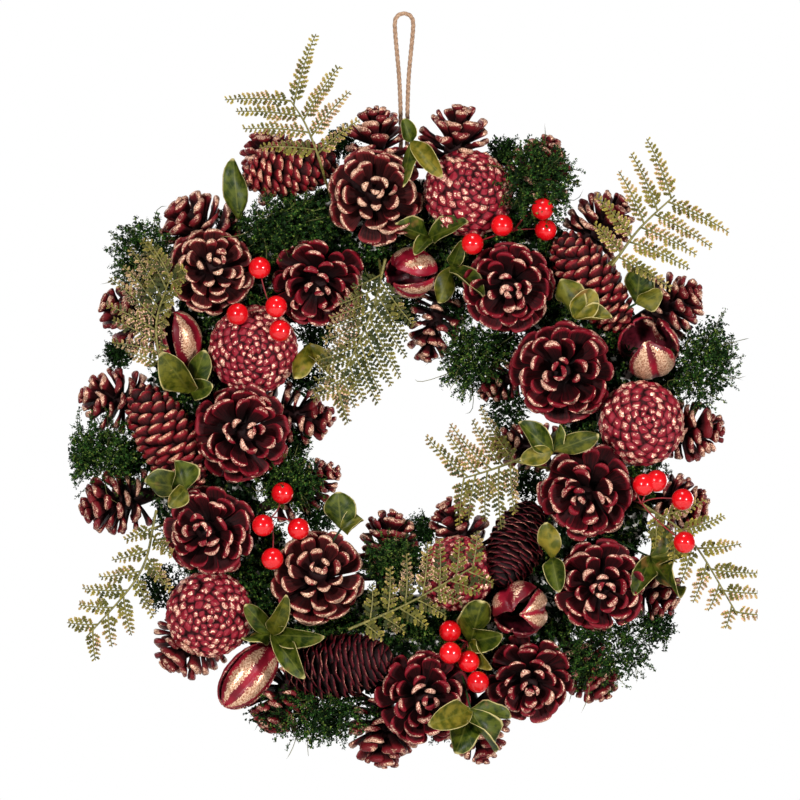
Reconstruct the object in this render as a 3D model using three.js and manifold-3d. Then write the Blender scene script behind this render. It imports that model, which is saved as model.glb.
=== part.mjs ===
// A Christmas wreath of dyed pine cones, seed pods, ferns, leaves and berries, glued on a flat-backed
// foam ring and hung by a jute loop.
// Millimetres. X to the right, Z up, Y away from the viewer: the flat back faces +Y.
// The origin is the inside of the loop's top, where a hook or nail carries the wreath.

import * as THREE from "three";
import { mergeVertices } from "three/addons/utils/BufferGeometryUtils.js";
import { ConvexGeometry } from "three/addons/geometries/ConvexGeometry.js";
import Module from "manifold-3d";

const wasm = await Module();
wasm.setup();

// Driving dimensions. The ring is centred on the Y axis of its own frame, below the loop.
const DROP = 231; // from the loop's top down to the ring's centre
const RING = { radius: 115, halfWidth: 27, back: 12, thickness: 30, segments: 28, arcs: 4 };
const CHANNEL = { halfWidth: 1.9, depth: 2.4 }; // the groove along the ring's crest for the leaf stems
const GAP = 0.3; // clearance between neighbouring pieces
const CLEAR_ROOM = GAP + 0.1; // how much a piece is grown before it is cut from its neighbour
const CORD = { radius: 1.25, sides: 8, steps: 28 };
const WIRE = { radius: 1.2, outer: 146, inner: 84, depth: -4 };
const LEAF_STEM = { radius: 0.85, twig: 0.75 };
const BERRY_RADIUS = 6;
const GOLDEN_ANGLE = THREE.MathUtils.degToRad(137.508);

// The hanging loop's route: x, y and z from the origin. It leaves the foam's top edge near the back, leans
// forward to the hook, turns over it and comes back down beside itself.
const LOOP_ROUTE = [
  [1.7, 9.5, -88.8],
  [1.7, 8.8, -82],
  [1.7, 7.8, -73],
  [1.8, 6.5, -62],
  [2, 4.9, -48],
  [2.6, 3.3, -33.5],
  [3.7, 1.9, -21],
  [4.7, 0.7, -11],
  [5, 0, -3.75],
  [3.54, 0, -0.21],
  [0, 0, 1.25],
  [-3.54, 0, -0.21],
  [-5, 0, -3.75],
  [-4.7, 0.7, -11],
  [-3.8, 1.9, -21],
  [-2.7, 3.3, -33.5],
  [-2, 4.9, -48],
  [-1.8, 6.5, -62],
  [-1.7, 7.8, -73],
  [-1.7, 8.8, -82],
  [-1.7, 9.5, -88.8],
];

// Lumps: x and z of the middle, a is half the width and c half the length along the axis.
// lean is how far the axis leans off straight ahead, in degrees, and to where it leans: 0 right, 90 up.
const OPEN_CONES = [
  { x: -105, z: 90, a: 25, c: 23, lean: 18, to: 45 },
  { x: -46, z: 84, a: 26.5, c: 23, lean: 20, to: -90 },
  { x: -16, z: 130, a: 27.5, c: 23, lean: 10, to: 80 },
  { x: 57, z: 81, a: 26.5, c: 23, lean: 12, to: -100 },
  { x: 86, z: 35, a: 29.5, c: 25, lean: 6, to: 180 },
  { x: 99, z: -30, a: 28, c: 24, lean: 18, to: -130 },
  { x: 106, z: -81, a: 27, c: 24, lean: 5, to: -60 },
  { x: -89, z: 2, a: 28.5, c: 25, lean: 20, to: 0 },
  { x: -105, z: -51, a: 26, c: 23, lean: 14, to: 175 },
  { x: -47, z: -77, a: 27.5, c: 24, lean: 20, to: 80 },
  { x: 10, z: -142, a: 27.5, c: 24, lean: 8, to: -20 },
  { x: 68, z: -132, a: 25.5, c: 23, lean: 18, to: -90 },
];
// Closed cones glued tip first, so that the spiral of their base shows.
const BASE_CONES = [
  { x: -82, z: 47, a: 24.5, c: 17, lean: 4, to: -90 },
  { x: 35, z: 132, a: 25, c: 18, lean: 24, to: 60 },
  { x: 129, z: 7, a: 23.5, c: 19, lean: 12, to: 45 },
  { x: -106, z: -97, a: 24, c: 18, lean: 10, to: -60 },
  { x: 29, z: -75, a: 21, c: 18, lean: 24, to: 135 },
];
// Long cones on their sides: heading is where the tip points in the wreath's plane, rise how far it lifts.
const LONG_CONES = [
  { x: -129, z: -1, a: 17, c: 33, heading: 121, rise: 4 },
  { x: -62, z: 146, a: 15.5, c: 27, heading: 10, rise: 4 },
  { x: 102, z: 84, a: 16.5, c: 32, heading: 125, rise: 5 },
  { x: -35, z: -125, a: 18, c: 31, heading: 10, rise: 12 },
  { x: 61, z: -59, a: 16, c: 27, heading: -114, rise: 25 },
];
// Seed pods, split into valves from the tip.
const PODS = [
  { x: -123, z: 53, a: 13.5, c: 17, heading: 105, rise: 25, valves: 2, twist: 0 },
  { x: 4, z: 89, a: 14.5, c: 15.5, heading: -60, rise: 55, valves: 2, twist: 90 },
  { x: 133, z: 48, a: 17.5, c: 19, heading: 110, rise: 58, valves: 3, twist: 60 },
  { x: 63, z: -94, a: 16, c: 16.5, heading: -20, rise: 65, valves: 3, twist: 60 },
  { x: -85, z: -131, a: 13.5, c: 22, heading: 230, rise: 10, valves: 2, twist: 42 },
];
// Small cones around the rim, strung on a wire: at is the clock angle (0 right, 90 up), a and c as above.
const OUTER_STRINGS = [
  [
    { at: 80, a: 22, c: 27, behind: 5 },
    { at: 63, a: 19.5, c: 25 },
    { at: 47, a: 20, c: 22.5 },
    { at: 26, a: 20, c: 24.5 },
    { at: 1, a: 18.5, c: 21 },
    { at: -14, a: 17, c: 19 },
  ],
  [
    { at: -32, a: 18, c: 21.5 },
    { at: -52, a: 18, c: 24.5 },
    { at: -76, a: 20, c: 26 },
    { at: -94, a: 22, c: 25.5 },
    { at: -115, a: 20.5, c: 23 },
    { at: -136, a: 22, c: 25.5 },
  ],
  [
    { at: 193, a: 20, c: 24.5 },
    { at: 173, a: 19, c: 23 },
    { at: 156, a: 19.5, c: 24.5 },
    { at: 135, a: 23, c: 24.5 },
    { at: 116, a: 19.5, c: 26 },
    { at: 95, a: 20, c: 25, behind: 5 },
  ],
];
const INNER_STRINGS = [
  [
    { at: 75, a: 16, c: 27 },
    { at: 29, a: 14, c: 24 },
    { at: -5, a: 15.5, c: 24 },
  ],
  [
    { at: -60, a: 17, c: 27.5 },
    { at: -98, a: 19, c: 28 },
    { at: -153, a: 16, c: 28 },
    { at: -191, a: 18, c: 29 },
  ],
];
const RIM_LEAN = 12; // how far the rim cones lean towards the viewer, in degrees
const RIM_BACK_SPACE = 1; // how far the rim cones stay in front of the ring's back

// Sprays of fine green twigs: x, y and z of the slim core that they spring from, its half width a and half
// length c along its heading, and how far the twigs reach past it.
const GREEN_SPRAYS = [
  { x: -140, y: -20, z: 97, a: 10, c: 13, heading: 120, reach: 16 },
  { x: -63, y: -28, z: 115, a: 10, c: 18, heading: 5, reach: 15 },
  { x: -172, y: -14, z: -10, a: 8, c: 14, heading: 0, reach: 21 },
  { x: 72, y: -24, z: 137, a: 12, c: 15, heading: 60, reach: 17 },
  { x: 39, y: -12, z: 43, a: 10, c: 12, heading: 60, reach: 15 },
  { x: 164, y: -18, z: 40, a: 9, c: 16, heading: 80, reach: 15 },
  { x: -63, y: -20, z: -24, a: 8, c: 11, heading: 0, reach: 12 },
  { x: -5, y: -16, z: -69, a: 8, c: 11, heading: 0, reach: 12 },
  { x: 110, y: -20, z: -116, a: 11, c: 20, heading: 15, reach: 16 },
  { x: -48, y: -20, z: -151, a: 9, c: 25, heading: -2, reach: 13 },
];

// Fern fronds: points of the stem from its root to its tip, in x and z, and the leaflet lengths along
// each side from root to tip. open is the leaflets' angle off the stem.
const FERNS = [
  {
    stem: [[-45, 148], [-53, 168], [-61, 181]],
    left: [36, 38, 36],
    right: [34, 38, 42],
    open: 70,
    lift: -46,
  },
  {
    stem: [[112, 92], [127, 112], [146, 130]],
    left: [22, 34, 36, 38],
    right: [36, 38, 40, 40],
    open: 82,
    lift: -48,
  },
  {
    stem: [[-130, 30], [-134, 60], [-126, 86]],
    left: [24, 32, 38, 30],
    right: [10, 12, 12, 10],
    open: 66,
    lift: -44,
  },
  {
    stem: [[-10, 96], [-18, 66], [-36, 26]],
    left: [34, 38, 34, 22],
    right: [22, 30, 28, 18],
    open: 52,
    lift: -44,
  },
  {
    stem: [[64, -12], [48, -18], [32, -23]],
    left: [32, 36, 26],
    right: [36, 34, 34],
    open: 80,
    lift: -34,
  },
  {
    stem: [[-134, -40], [-143, -74], [-172, -109]],
    left: [18, 26, 26, 18],
    right: [20, 26, 26, 18],
    open: 62,
    lift: -40,
  },
  {
    stem: [[-30, -104], [2, -90], [38, -70]],
    left: [24, 30, 30, 20],
    right: [14, 22, 22, 18],
    open: 66,
    lift: -52,
  },
  {
    stem: [[128, -36], [155, -56], [180, -96]],
    left: [28, 30, 28, 18],
    right: [24, 26, 24, 16],
    open: 62,
    lift: -42,
  },
];
const PINNA = { width: 7, thickness: 1 };
const RIB = 0.8; // half the width of a frond's rib
const RIB_START = 0.08; // the share of the stem before the blade begins
const OVER_CONES = 2.5; // how far a frond's rib passes in front of what it crosses
const RACHIS_RADIUS = 1.1;
const LEAF_THICKNESS = 1;
const LONG_LEAF = 17; // a longer leaf than this has two widths in its outline, a shorter one has one

// Leaf sprigs, in three garlands: x and z of the node the leaves spring from, then for each leaf
// [heading, length, width].
const LEAF_GARLANDS = [
  [
    { x: 4, z: 160, leaves: [[-100, 26, 9], [-50, 26, 10], [110, 13, 8]] },
    { x: 14, z: 108, leaves: [[160, 20, 13], [20, 22, 12], [-130, 13, 8]] },
    { x: 26, z: 92, leaves: [[-110, 21, 11], [-45, 24, 11], [70, 15, 8]] },
    { x: 92, z: 64, leaves: [[110, 22, 17], [55, 18, 14], [0, 20, 10]] },
    { x: 126, z: 72, leaves: [[85, 20, 16], [25, 15, 12]] },
    { x: 80, z: -8, leaves: [[20, 26, 11], [140, 24, 12], [195, 18, 10], [75, 15, 10]] },
  ],
  [
    { x: 80, z: -66, leaves: [[100, 20, 12], [-80, 18, 11]] },
    { x: 134, z: -66, leaves: [[-55, 26, 16], [5, 22, 14], [-115, 22, 12], [60, 20, 12]] },
    { x: 36, z: -112, leaves: [[75, 24, 17], [15, 18, 13], [-50, 18, 11]] },
    { x: 36, z: -148, leaves: [[-110, 24, 17], [-60, 26, 16], [-165, 24, 14], [-10, 22, 12]] },
    { x: -72, z: -108, leaves: [[130, 22, 10], [0, 29, 11], [-50, 29, 12], [185, 16, 11], [70, 24, 10]] },
  ],
  [
    { x: -34, z: -50, leaves: [[95, 20, 17], [20, 13, 11]] },
    { x: -118, z: -28, leaves: [[170, 22, 16], [110, 16, 16], [230, 13, 10]] },
    { x: -116, z: 24, leaves: [[70, 24, 13], [125, 26, 17], [15, 13, 11]] },
    { x: -52, z: 50, leaves: [[-110, 20, 12], [-55, 20, 11]] },
    { x: -90, z: 118, leaves: [[95, 33, 13]] },
  ],
];

// Berries: x and z of each, and of the point where their wires meet the ring. A spray with a front stands
// at least that far forward.
const BERRY_SPRAYS = [
  { root: [-72, 70], berries: [[-78, 91], [-90, 66], [-69, 70], [-67, 57]] },
  { root: [60, 112], berries: [[37, 104], [53, 114], [75, 123], [77, 112]] },
  { root: [-72, -44], berries: [[-66, -31], [-76, -48], [-57, -50], [-71, -66]] },
  { root: [34, -112], berries: [[25, -106], [25, -117], [35, -122], [40, -133]] },
  { root: [128, -36], front: -52, berries: [[129, -26], [136, -24], [150, -34], [151, -57]] },
];

const paint = (color, roughness) => new THREE.MeshStandardMaterial({ color, roughness, metalness: 0 });
const FOAM = paint(0xe9e6df, 0.9);
const JUTE = paint(0xa8795a, 0.95);
const CONE_RED = paint(0x5a1220, 0.55);
const BASE_RED = paint(0x96394a, 0.6);
const POD_RED = paint(0xa03040, 0.45);
const GREEN = paint(0x1d3f1c, 0.85);
const FERN_GREEN = paint(0x8c8a3c, 0.7);
const LEAF_GREEN = paint(0x5b6a1f, 0.6);
const BERRY_RED = paint(0xd81419, 0.2);

// A closed geometry as a solid, turned right side out.
function solidOf(geometry) {
  const bare = geometry.index ? geometry.toNonIndexed() : geometry.clone();
  bare.deleteAttribute("normal");
  bare.deleteAttribute("uv");
  const merged = mergeVertices(bare, 1e-4);
  const corners = new Uint32Array(merged.index.array);
  const make = () =>
    new wasm.Manifold(
      new wasm.Mesh({ numProp: 3, vertProperties: merged.attributes.position.array, triVerts: corners }),
    );
  const made = make();
  if (made.volume() >= 0) return made;
  for (let i = 0; i < corners.length; i += 3) [corners[i], corners[i + 1]] = [corners[i + 1], corners[i]];
  return make();
}

const ONE = new THREE.Vector3(1, 1, 1);
const joined = (solids) => solids.reduce((whole, next) => whole.add(next));
const cutBy = (solid, cutters) => cutters.reduce((left, cutter) => left.subtract(cutter), solid);

// The largest body of a solid: what a cut leaves loose is dropped, and what a join seals in is filled.
function largestBody(solid) {
  const bodies = solid.decompose();
  return bodies.reduce((best, body) => (body.volume() > best.volume() ? body : best));
}

function meshOf(name, solid, material) {
  const { vertProperties, triVerts, numProp } = solid.getMesh();
  const positions = new Float32Array((vertProperties.length / numProp) * 3);
  for (let i = 0; i < positions.length / 3; i++) {
    positions.set(vertProperties.subarray(i * numProp, i * numProp + 3), i * 3);
  }
  const geometry = new THREE.BufferGeometry();
  geometry.setAttribute("position", new THREE.BufferAttribute(positions, 3));
  geometry.setIndex(new THREE.BufferAttribute(new Uint32Array(triVerts), 1));
  const mesh = new THREE.Mesh(geometry, material);
  mesh.name = name;
  return mesh;
}

// A closed surface from rings of points with the same count, closed by a fan at each end. Each four-sided
// patch is split from corner k or from corner k + 1 of its lower ring, as fromFirst says.
function loft(rings, bottom, top, fromFirst) {
  const positions = [];
  const triangle = (...corners) => corners.forEach((p) => positions.push(p.x, p.y, p.z));
  const columns = rings[0].length;
  for (let k = 0; k < columns; k++) {
    const next = (k + 1) % columns;
    triangle(bottom, rings[0][next], rings[0][k]);
    for (let j = 0; j + 1 < rings.length; j++) {
      const [a, b, c, d] = [rings[j][k], rings[j][next], rings[j + 1][next], rings[j + 1][k]];
      if (fromFirst(j, k)) {
        triangle(a, b, c);
        triangle(a, c, d);
      } else {
        triangle(a, b, d);
        triangle(b, c, d);
      }
    }
    triangle(top, rings.at(-1)[k], rings.at(-1)[next]);
  }
  const geometry = new THREE.BufferGeometry();
  geometry.setAttribute("position", new THREE.Float32BufferAttribute(positions, 3));
  return geometry;
}

// A straight round bar from p to q.
function bar(p, q, radius, sides) {
  const length = p.distanceTo(q);
  const along = q.clone().sub(p).normalize();
  const turn = new THREE.Quaternion().setFromUnitVectors(new THREE.Vector3(0, 1, 0), along);
  const geometry = new THREE.CylinderGeometry(radius, radius, length, sides);
  const middle = p.clone().lerp(q, 0.5);
  return solidOf(geometry.applyMatrix4(new THREE.Matrix4().compose(middle, turn, ONE)));
}

// A round tube along a smooth curve through points.
function tube(points, radius, sides, steps) {
  const section = new THREE.Shape(
    Array.from({ length: sides }, (_, k) => {
      const angle = (2 * Math.PI * k) / sides;
      return new THREE.Vector2(radius * Math.cos(angle), radius * Math.sin(angle));
    }),
  );
  const extrudePath = new THREE.CatmullRomCurve3(points);
  return solidOf(new THREE.ExtrudeGeometry(section, { steps, extrudePath, bevelEnabled: false }));
}

const direction = (x, y, z) => new THREE.Vector3(x, y, z).normalize();
const radians = THREE.MathUtils.degToRad;
const clamp = THREE.MathUtils.clamp;

function leaningAxis({ lean, to }) {
  const side = Math.sin(radians(lean));
  return direction(side * Math.cos(radians(to)), -Math.cos(radians(lean)), side * Math.sin(radians(to)));
}

function headingAxis({ heading, rise }) {
  const flat = Math.cos(radians(rise));
  const turn = radians(heading);
  return direction(flat * Math.cos(turn), -Math.sin(radians(rise)), flat * Math.sin(turn));
}

// The ring's cross-section: a flat back, a half-oval front and the channel in its crest, grown by grow.
function ringProfile(grow) {
  const profile = [];
  const crest = RING.back - RING.thickness - grow;
  const channel = CHANNEL.halfWidth - grow;
  for (let i = 0; i <= RING.arcs; i++) {
    const angle = (Math.PI * i) / RING.arcs;
    if (2 * i === RING.arcs) {
      for (const [side, deep] of [[1, 0], [1, 1], [-1, 1], [-1, 0]]) {
        profile.push(new THREE.Vector2(RING.radius + side * channel, crest + deep * CHANNEL.depth));
      }
    } else {
      profile.push(
        new THREE.Vector2(
          RING.radius + (RING.halfWidth + grow) * Math.cos(angle),
          RING.back + grow - (RING.thickness + 2 * grow) * Math.sin(angle),
        ),
      );
    }
  }
  return profile;
}

function ringSolid(grow) {
  const profile = ringProfile(grow);
  return solidOf(new THREE.LatheGeometry([...profile, profile[0].clone()], RING.segments));
}

// The ring's front at a radius, and how far a point is across and forward in its oval section.
const ringFront = (radius) => {
  const across = (radius - RING.radius) / RING.halfWidth;
  return Math.abs(across) < 1 ? RING.back - RING.thickness * Math.sqrt(1 - across * across) : RING.back;
};
function inSection(point) {
  const across = (Math.hypot(point.x, point.z) - RING.radius) / RING.halfWidth;
  return { across, forward: Math.max((RING.back - point.y) / RING.thickness, 0) };
}
const depthInRing = (point) => {
  const { across, forward } = inSection(point);
  return (1 - Math.hypot(across, forward)) * RING.halfWidth;
};

// A lump is an egg-shaped room: a middle, an axis, half its width a and half its length c. The piece
// in it fills that room, and walls trim it where it meets the foam or another lump.
const SAMPLES = 240;
const turnTo = (axis) => new THREE.Quaternion().setFromUnitVectors(new THREE.Vector3(0, 0, 1), axis);
function surfacePoints(lump) {
  const turn = turnTo(lump.axis);
  return Array.from({ length: SAMPLES }, (_, k) => {
    const height = 1 - (2 * (k + 0.5)) / SAMPLES;
    const out = Math.sqrt(1 - height * height);
    const angle = k * GOLDEN_ANGLE;
    return new THREE.Vector3(lump.a * out * Math.cos(angle), lump.a * out * Math.sin(angle), lump.c * height)
      .applyQuaternion(turn)
      .add(lump.middle);
  });
}

// How far a lump reaches from its middle in a direction.
function reachOf(lump, way) {
  const along = way.dot(lump.axis);
  return Math.hypot(lump.a * Math.sqrt(Math.max(0, 1 - along * along)), lump.c * along);
}

// Moves a lump along a direction, from far out, until it is pressed sink mm into the foam.
function seat(lump, inward, far, sink) {
  const start = lump.middle.clone().addScaledVector(inward, -far);
  let [low, high] = [0, 2 * far];
  for (let i = 0; i < 24; i++) {
    const travel = (low + high) / 2;
    lump.middle.copy(start).addScaledVector(inward, travel);
    const deepest = Math.max(...surfacePoints(lump).map(depthInRing));
    if (deepest < sink) low = travel;
    else high = travel;
  }
  return lump;
}

const SINK = 3.2; // how deep a cone's egg is pressed into the foam before its seat is cut flat
const POD_SINK = 1.1;
const DEEPEST_FRONT = -22; // the front pieces' middles stay this far forward
const FAR = 60; // how far out a lump starts on its way to the foam
const FIRM = { front: 3, rim: 1, green: 0.01 }; // the firmer of two lumps loses less where they meet
function frontLump(spec, axis, sink = SINK) {
  const lump = { ...spec, axis, middle: new THREE.Vector3(spec.x, 0, spec.z), firm: FIRM.front, walls: [] };
  seat(lump, new THREE.Vector3(0, 1, 0), FAR, sink);
  lump.middle.y = Math.min(lump.middle.y, DEEPEST_FRONT);
  return lump;
}

function rimLump(spec, side) {
  const out = new THREE.Vector3(Math.cos(radians(spec.at)), 0, Math.sin(radians(spec.at)));
  const axis = out.clone().multiplyScalar(side).setY(-Math.tan(radians(RIM_LEAN))).normalize();
  const lump = { ...spec, axis, side, firm: FIRM.rim, walls: [] };
  lump.middle = out.clone().multiplyScalar(RING.radius + side * RING.halfWidth);
  lump.middle.y = RING.back - (spec.behind ?? RIM_BACK_SPACE) - reachOf(lump, new THREE.Vector3(0, 1, 0));
  return seat(lump, out.clone().multiplyScalar(-side), FAR, SINK);
}

// A green spray's core lies in the gap between the cones, or half sunk where their front is nearer.
const PROUD = 1;
function sprayLump(spec) {
  const axis = headingAxis({ heading: spec.heading, rise: 0 });
  const y = Math.min(spec.y, frontOver(spec.x, spec.z, 3, cones) + PROUD);
  return { ...spec, axis, middle: new THREE.Vector3(spec.x, y, spec.z), firm: FIRM.green, walls: [] };
}

// The wall that parts two lumps: across the way in which they overlap least.
function parting(one, two) {
  const between = two.middle.clone().sub(one.middle);
  const gapAlong = (way) => between.dot(way) - reachOf(one, way) - reachOf(two, way);
  let normal = between.clone().normalize();
  for (let step = 0.5; step > 0.01; ) {
    const tries = [[1, 0, 0], [-1, 0, 0], [0, 1, 0], [0, -1, 0], [0, 0, 1], [0, 0, -1]].map((shift) =>
      normal.clone().addScaledVector(new THREE.Vector3(...shift), step).normalize(),
    );
    const best = tries.reduce((top, way) => (gapAlong(way) > gapAlong(top) ? way : top), normal);
    if (best === normal) step /= 2;
    normal = best;
  }
  return { normal, gap: gapAlong(normal) };
}

function partLumps(all) {
  all.forEach((one, i) => {
    for (const two of all.slice(i + 1)) {
      const { normal, gap } = parting(one, two);
      if (gap >= GAP) continue;
      const overlap = GAP - gap;
      const loss = (overlap * two.firm) / (one.firm + two.firm);
      const offset = one.middle.dot(normal) + reachOf(one, normal) - loss;
      one.walls.push({ normal, offset });
      two.walls.push({ normal: normal.clone().negate(), offset: -(offset + GAP) });
    }
  });
}

// The wall on which a lump sits: flat against the ring, just clear of the foam that its egg would hold.
function seatWall(lump) {
  const { across, forward } = inSection(lump.middle);
  const slope = new THREE.Vector2(across / RING.halfWidth, -forward / RING.thickness).normalize();
  const normal = new THREE.Vector3(lump.middle.x, 0, lump.middle.z).setLength(slope.x).setY(slope.y);
  const intoEgg = turnTo(lump.axis).invert();
  const profile = ringProfile(0);
  let highest = -Infinity;
  for (let i = 0; i < profile.length; i++) {
    for (let k = 0; k < 4 * RING.segments; k++) {
      const share = (k % 4) / 4;
      const { x: radius, y } = profile[i].clone().lerp(profile[(i + 1) % profile.length], share);
      const angle = (2 * Math.PI * k) / (4 * RING.segments);
      const point = new THREE.Vector3(radius * Math.sin(angle), y, radius * Math.cos(angle));
      const local = point.clone().sub(lump.middle).applyQuaternion(intoEgg);
      const inEgg = Math.hypot(local.x / lump.a, local.y / lump.a, local.z / lump.c) < 1;
      if (inEgg) highest = Math.max(highest, point.dot(normal));
    }
  }
  if (highest > -Infinity) lump.walls.push({ normal: normal.negate(), offset: -(highest + GAP) });
}

const BLOCK = 200; // the size of the block that trims a lump at a wall
function trimmed(solid, lump) {
  return lump.walls.reduce((left, { normal, offset }) => {
    const past = normal.dot(lump.middle) - offset;
    const block = new THREE.BoxGeometry(BLOCK, BLOCK, BLOCK).translate(0, 0, BLOCK / 2);
    const foot = lump.middle.clone().addScaledVector(normal, -past);
    const place = new THREE.Matrix4().compose(foot, turnTo(normal), ONE);
    return left.subtract(solidOf(block.applyMatrix4(place)));
  }, solid);
}

const placed = (geometry, lump) =>
  geometry.applyMatrix4(new THREE.Matrix4().compose(lump.middle, turnTo(lump.axis), ONE));

// The room a lump needs, as a coarse egg outside its true outline.
const ROOM_FACETS = 1.07; // brings the coarse egg's flats out to the true outline
function roomOf(lump) {
  const egg = new THREE.IcosahedronGeometry(1, 1);
  egg.scale((lump.a + GAP) * ROOM_FACETS, (lump.a + GAP) * ROOM_FACETS, (lump.c + GAP) * ROOM_FACETS);
  return trimmed(solidOf(placed(egg, lump)), lump);
}

// The point nearest the viewer that the lumps reach at x and z, or the ring's front.
function frontAt(x, z, among) {
  let front = ringFront(Math.hypot(x, z));
  for (const lump of among) {
    const turn = turnTo(lump.axis).invert();
    const scale = new THREE.Vector3(1 / lump.a, 1 / lump.a, 1 / lump.c);
    const from = new THREE.Vector3(x, 0, z).sub(lump.middle).applyQuaternion(turn).multiply(scale);
    const along = new THREE.Vector3(0, 1, 0).applyQuaternion(turn).multiply(scale);
    const [qa, qb, qc] = [along.dot(along), from.dot(along), from.dot(from) - 1];
    const inside = qb * qb - qa * qc;
    if (inside > 0) front = Math.min(front, (-qb - Math.sqrt(inside)) / qa);
  }
  return front;
}

// The same over a patch of that radius.
function frontOver(x, z, radius, among = lumps) {
  const edge = Array.from({ length: 8 }, (_, i) => {
    const angle = (Math.PI * i) / 4;
    return frontAt(x + radius * Math.cos(angle), z + radius * Math.sin(angle), among);
  });
  return Math.min(frontAt(x, z, among), ...edge);
}

const openCones = OPEN_CONES.map((spec) => frontLump(spec, leaningAxis(spec)));
const baseCones = BASE_CONES.map((spec) => frontLump(spec, leaningAxis(spec)));
const longCones = LONG_CONES.map((spec) => frontLump(spec, headingAxis(spec)));
const pods = PODS.map((spec) => frontLump(spec, headingAxis(spec), POD_SINK));
const outerStrings = OUTER_STRINGS.map((string) => string.map((spec) => rimLump(spec, 1)));
const innerStrings = INNER_STRINGS.map((string) => string.map((spec) => rimLump(spec, -1)));
const rimStrings = [...outerStrings, ...innerStrings];
const cones = [...openCones, ...pods, ...longCones, ...baseCones, ...rimStrings.flat()];
const sprayCores = GREEN_SPRAYS.map(sprayLump);
const lumps = [...cones, ...sprayCores];
partLumps(lumps);
lumps.forEach(seatWall);

const BASE_FULLNESS = 0.96; // the cone's base fills its egg, so that it sits on the foam

// A cone raised by formula: rows of pointed scales, each row turned by half a scale from the last.
// slope lifts the tips along the axis, and core is the groove's share of the outline.
function scaledCone(lump, { rows, around, core, slope, bottom, top }) {
  const { a, c } = lump;
  const columns = around * 2;
  const outline = (z) => a * Math.sqrt(Math.max(0, 1 - (z / c) ** 2));
  const ring = (height, radius) =>
    Array.from({ length: columns }, (_, k) => {
      const angle = (2 * Math.PI * k) / columns;
      return new THREE.Vector3(radius(k) * Math.cos(angle), radius(k) * Math.sin(angle), height(k));
    });
  const rings = [];
  const step = ((top - bottom) * c) / rows;
  for (let i = 0; i < rows; i++) {
    const root = bottom * c + i * step;
    const isTip = (k) => (k + i) % 2 === 0;
    const height = (k) => Math.min(root + step * (isTip(k) ? slope : 0.5), 0.97 * c);
    const groove = core * 1.12 * outline(root + step / 2);
    rings.push(ring(() => root, () => (i === 0 ? BASE_FULLNESS : core) * outline(root)));
    rings.push(ring(height, (k) => (isTip(k) ? outline(height(k)) : groove)));
  }
  const bottomPoint = new THREE.Vector3(0, 0, -c);
  const topPoint = new THREE.Vector3(0, 0, Math.min(top + 0.2, 1) * c);
  const tipAt = (j, k) => (k + Math.floor(j / 2)) % 2 === 0;
  const fromTip = (j, k) => (j % 2 === 0 ? !tipAt(j, k) : tipAt(j, k));
  return solidOf(placed(loft(rings, bottomPoint, topPoint, fromTip), lump));
}

const OPEN_SCALES = { rows: 4, around: 6, core: 0.66, slope: 0.95, bottom: -0.78, top: 0.82 };
const RIM_SCALES = { rows: 3, around: 4, core: 0.66, slope: 1.25, bottom: -0.86, top: 0.74 };
const LONG_SCALES = { rows: 5, around: 5, core: 0.82, slope: 1.3, bottom: -0.9, top: 0.86 };

// A cone's base seen from its end: a dome of knobs in rings that wind inwards.
const KNOBS = { rings: 6, columns: 12, twist: 0.1, widest: 1.75, foot: 2.35, groove: 0.84 };
function knobbedBase(lump) {
  const { a, c } = lump;
  const rings = [];
  for (let j = KNOBS.rings + 1; j >= 1; j--) {
    const isFoot = j > KNOBS.rings;
    const from = isFoot ? KNOBS.foot : (KNOBS.widest * j) / KNOBS.rings;
    rings.push(
      Array.from({ length: KNOBS.columns }, (_, k) => {
        const size = isFoot || (k + j) % 2 === 0 ? 1 : KNOBS.groove;
        const angle = (2 * Math.PI * k) / KNOBS.columns + KNOBS.twist * j;
        const flat = a * size * Math.sin(from);
        return new THREE.Vector3(flat * Math.cos(angle), flat * Math.sin(angle), c * size * Math.cos(from));
      }),
    );
  }
  const fromGroove = (j, k) => (k + KNOBS.rings + 1 - j) % 2 !== 0;
  const geometry = loft(rings, new THREE.Vector3(0, 0, -c), new THREE.Vector3(0, 0, 0.88 * c), fromGroove);
  return solidOf(placed(geometry, lump));
}

// A seed pod: a thick egg shell split from its tip into valves by wedges.
const SHELL = 2.6;
function pod(lump) {
  const { a, c, valves, twist } = lump;
  const egg = (shrink, columns, rows) => {
    const shape = new THREE.SphereGeometry(1, columns, rows).rotateX(Math.PI / 2);
    return solidOf(placed(shape.scale(a - shrink, a - shrink, c - shrink), lump));
  };
  let shell = egg(0, 8, 6).subtract(egg(SHELL, 6, 4));
  const slits = valves === 2 ? 1 : valves;
  const viewer = new THREE.Vector3(0, -1, 0).applyQuaternion(turnTo(lump.axis).invert());
  for (let k = 0; k < slits; k++) {
    const angle = Math.atan2(viewer.y, viewer.x) + radians(twist) + (2 * Math.PI * k) / slits;
    const wide = a * (valves === 2 ? 0.32 : 0.26);
    const across = new THREE.Vector3(-Math.sin(angle), Math.cos(angle), 0);
    const along = new THREE.Vector3(Math.cos(angle), Math.sin(angle), 0);
    const corners = [valves === 2 ? -1.2 * a : 0, 1.2 * a].flatMap((s) => [
      along.clone().multiplyScalar(s).setZ(-0.45 * c),
      along.clone().multiplyScalar(s).addScaledVector(across, wide).setZ(1.2 * c),
      along.clone().multiplyScalar(s).addScaledVector(across, -wide).setZ(1.2 * c),
    ]);
    shell = shell.subtract(solidOf(placed(new ConvexGeometry(corners), lump)));
  }
  return shell;
}

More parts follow.
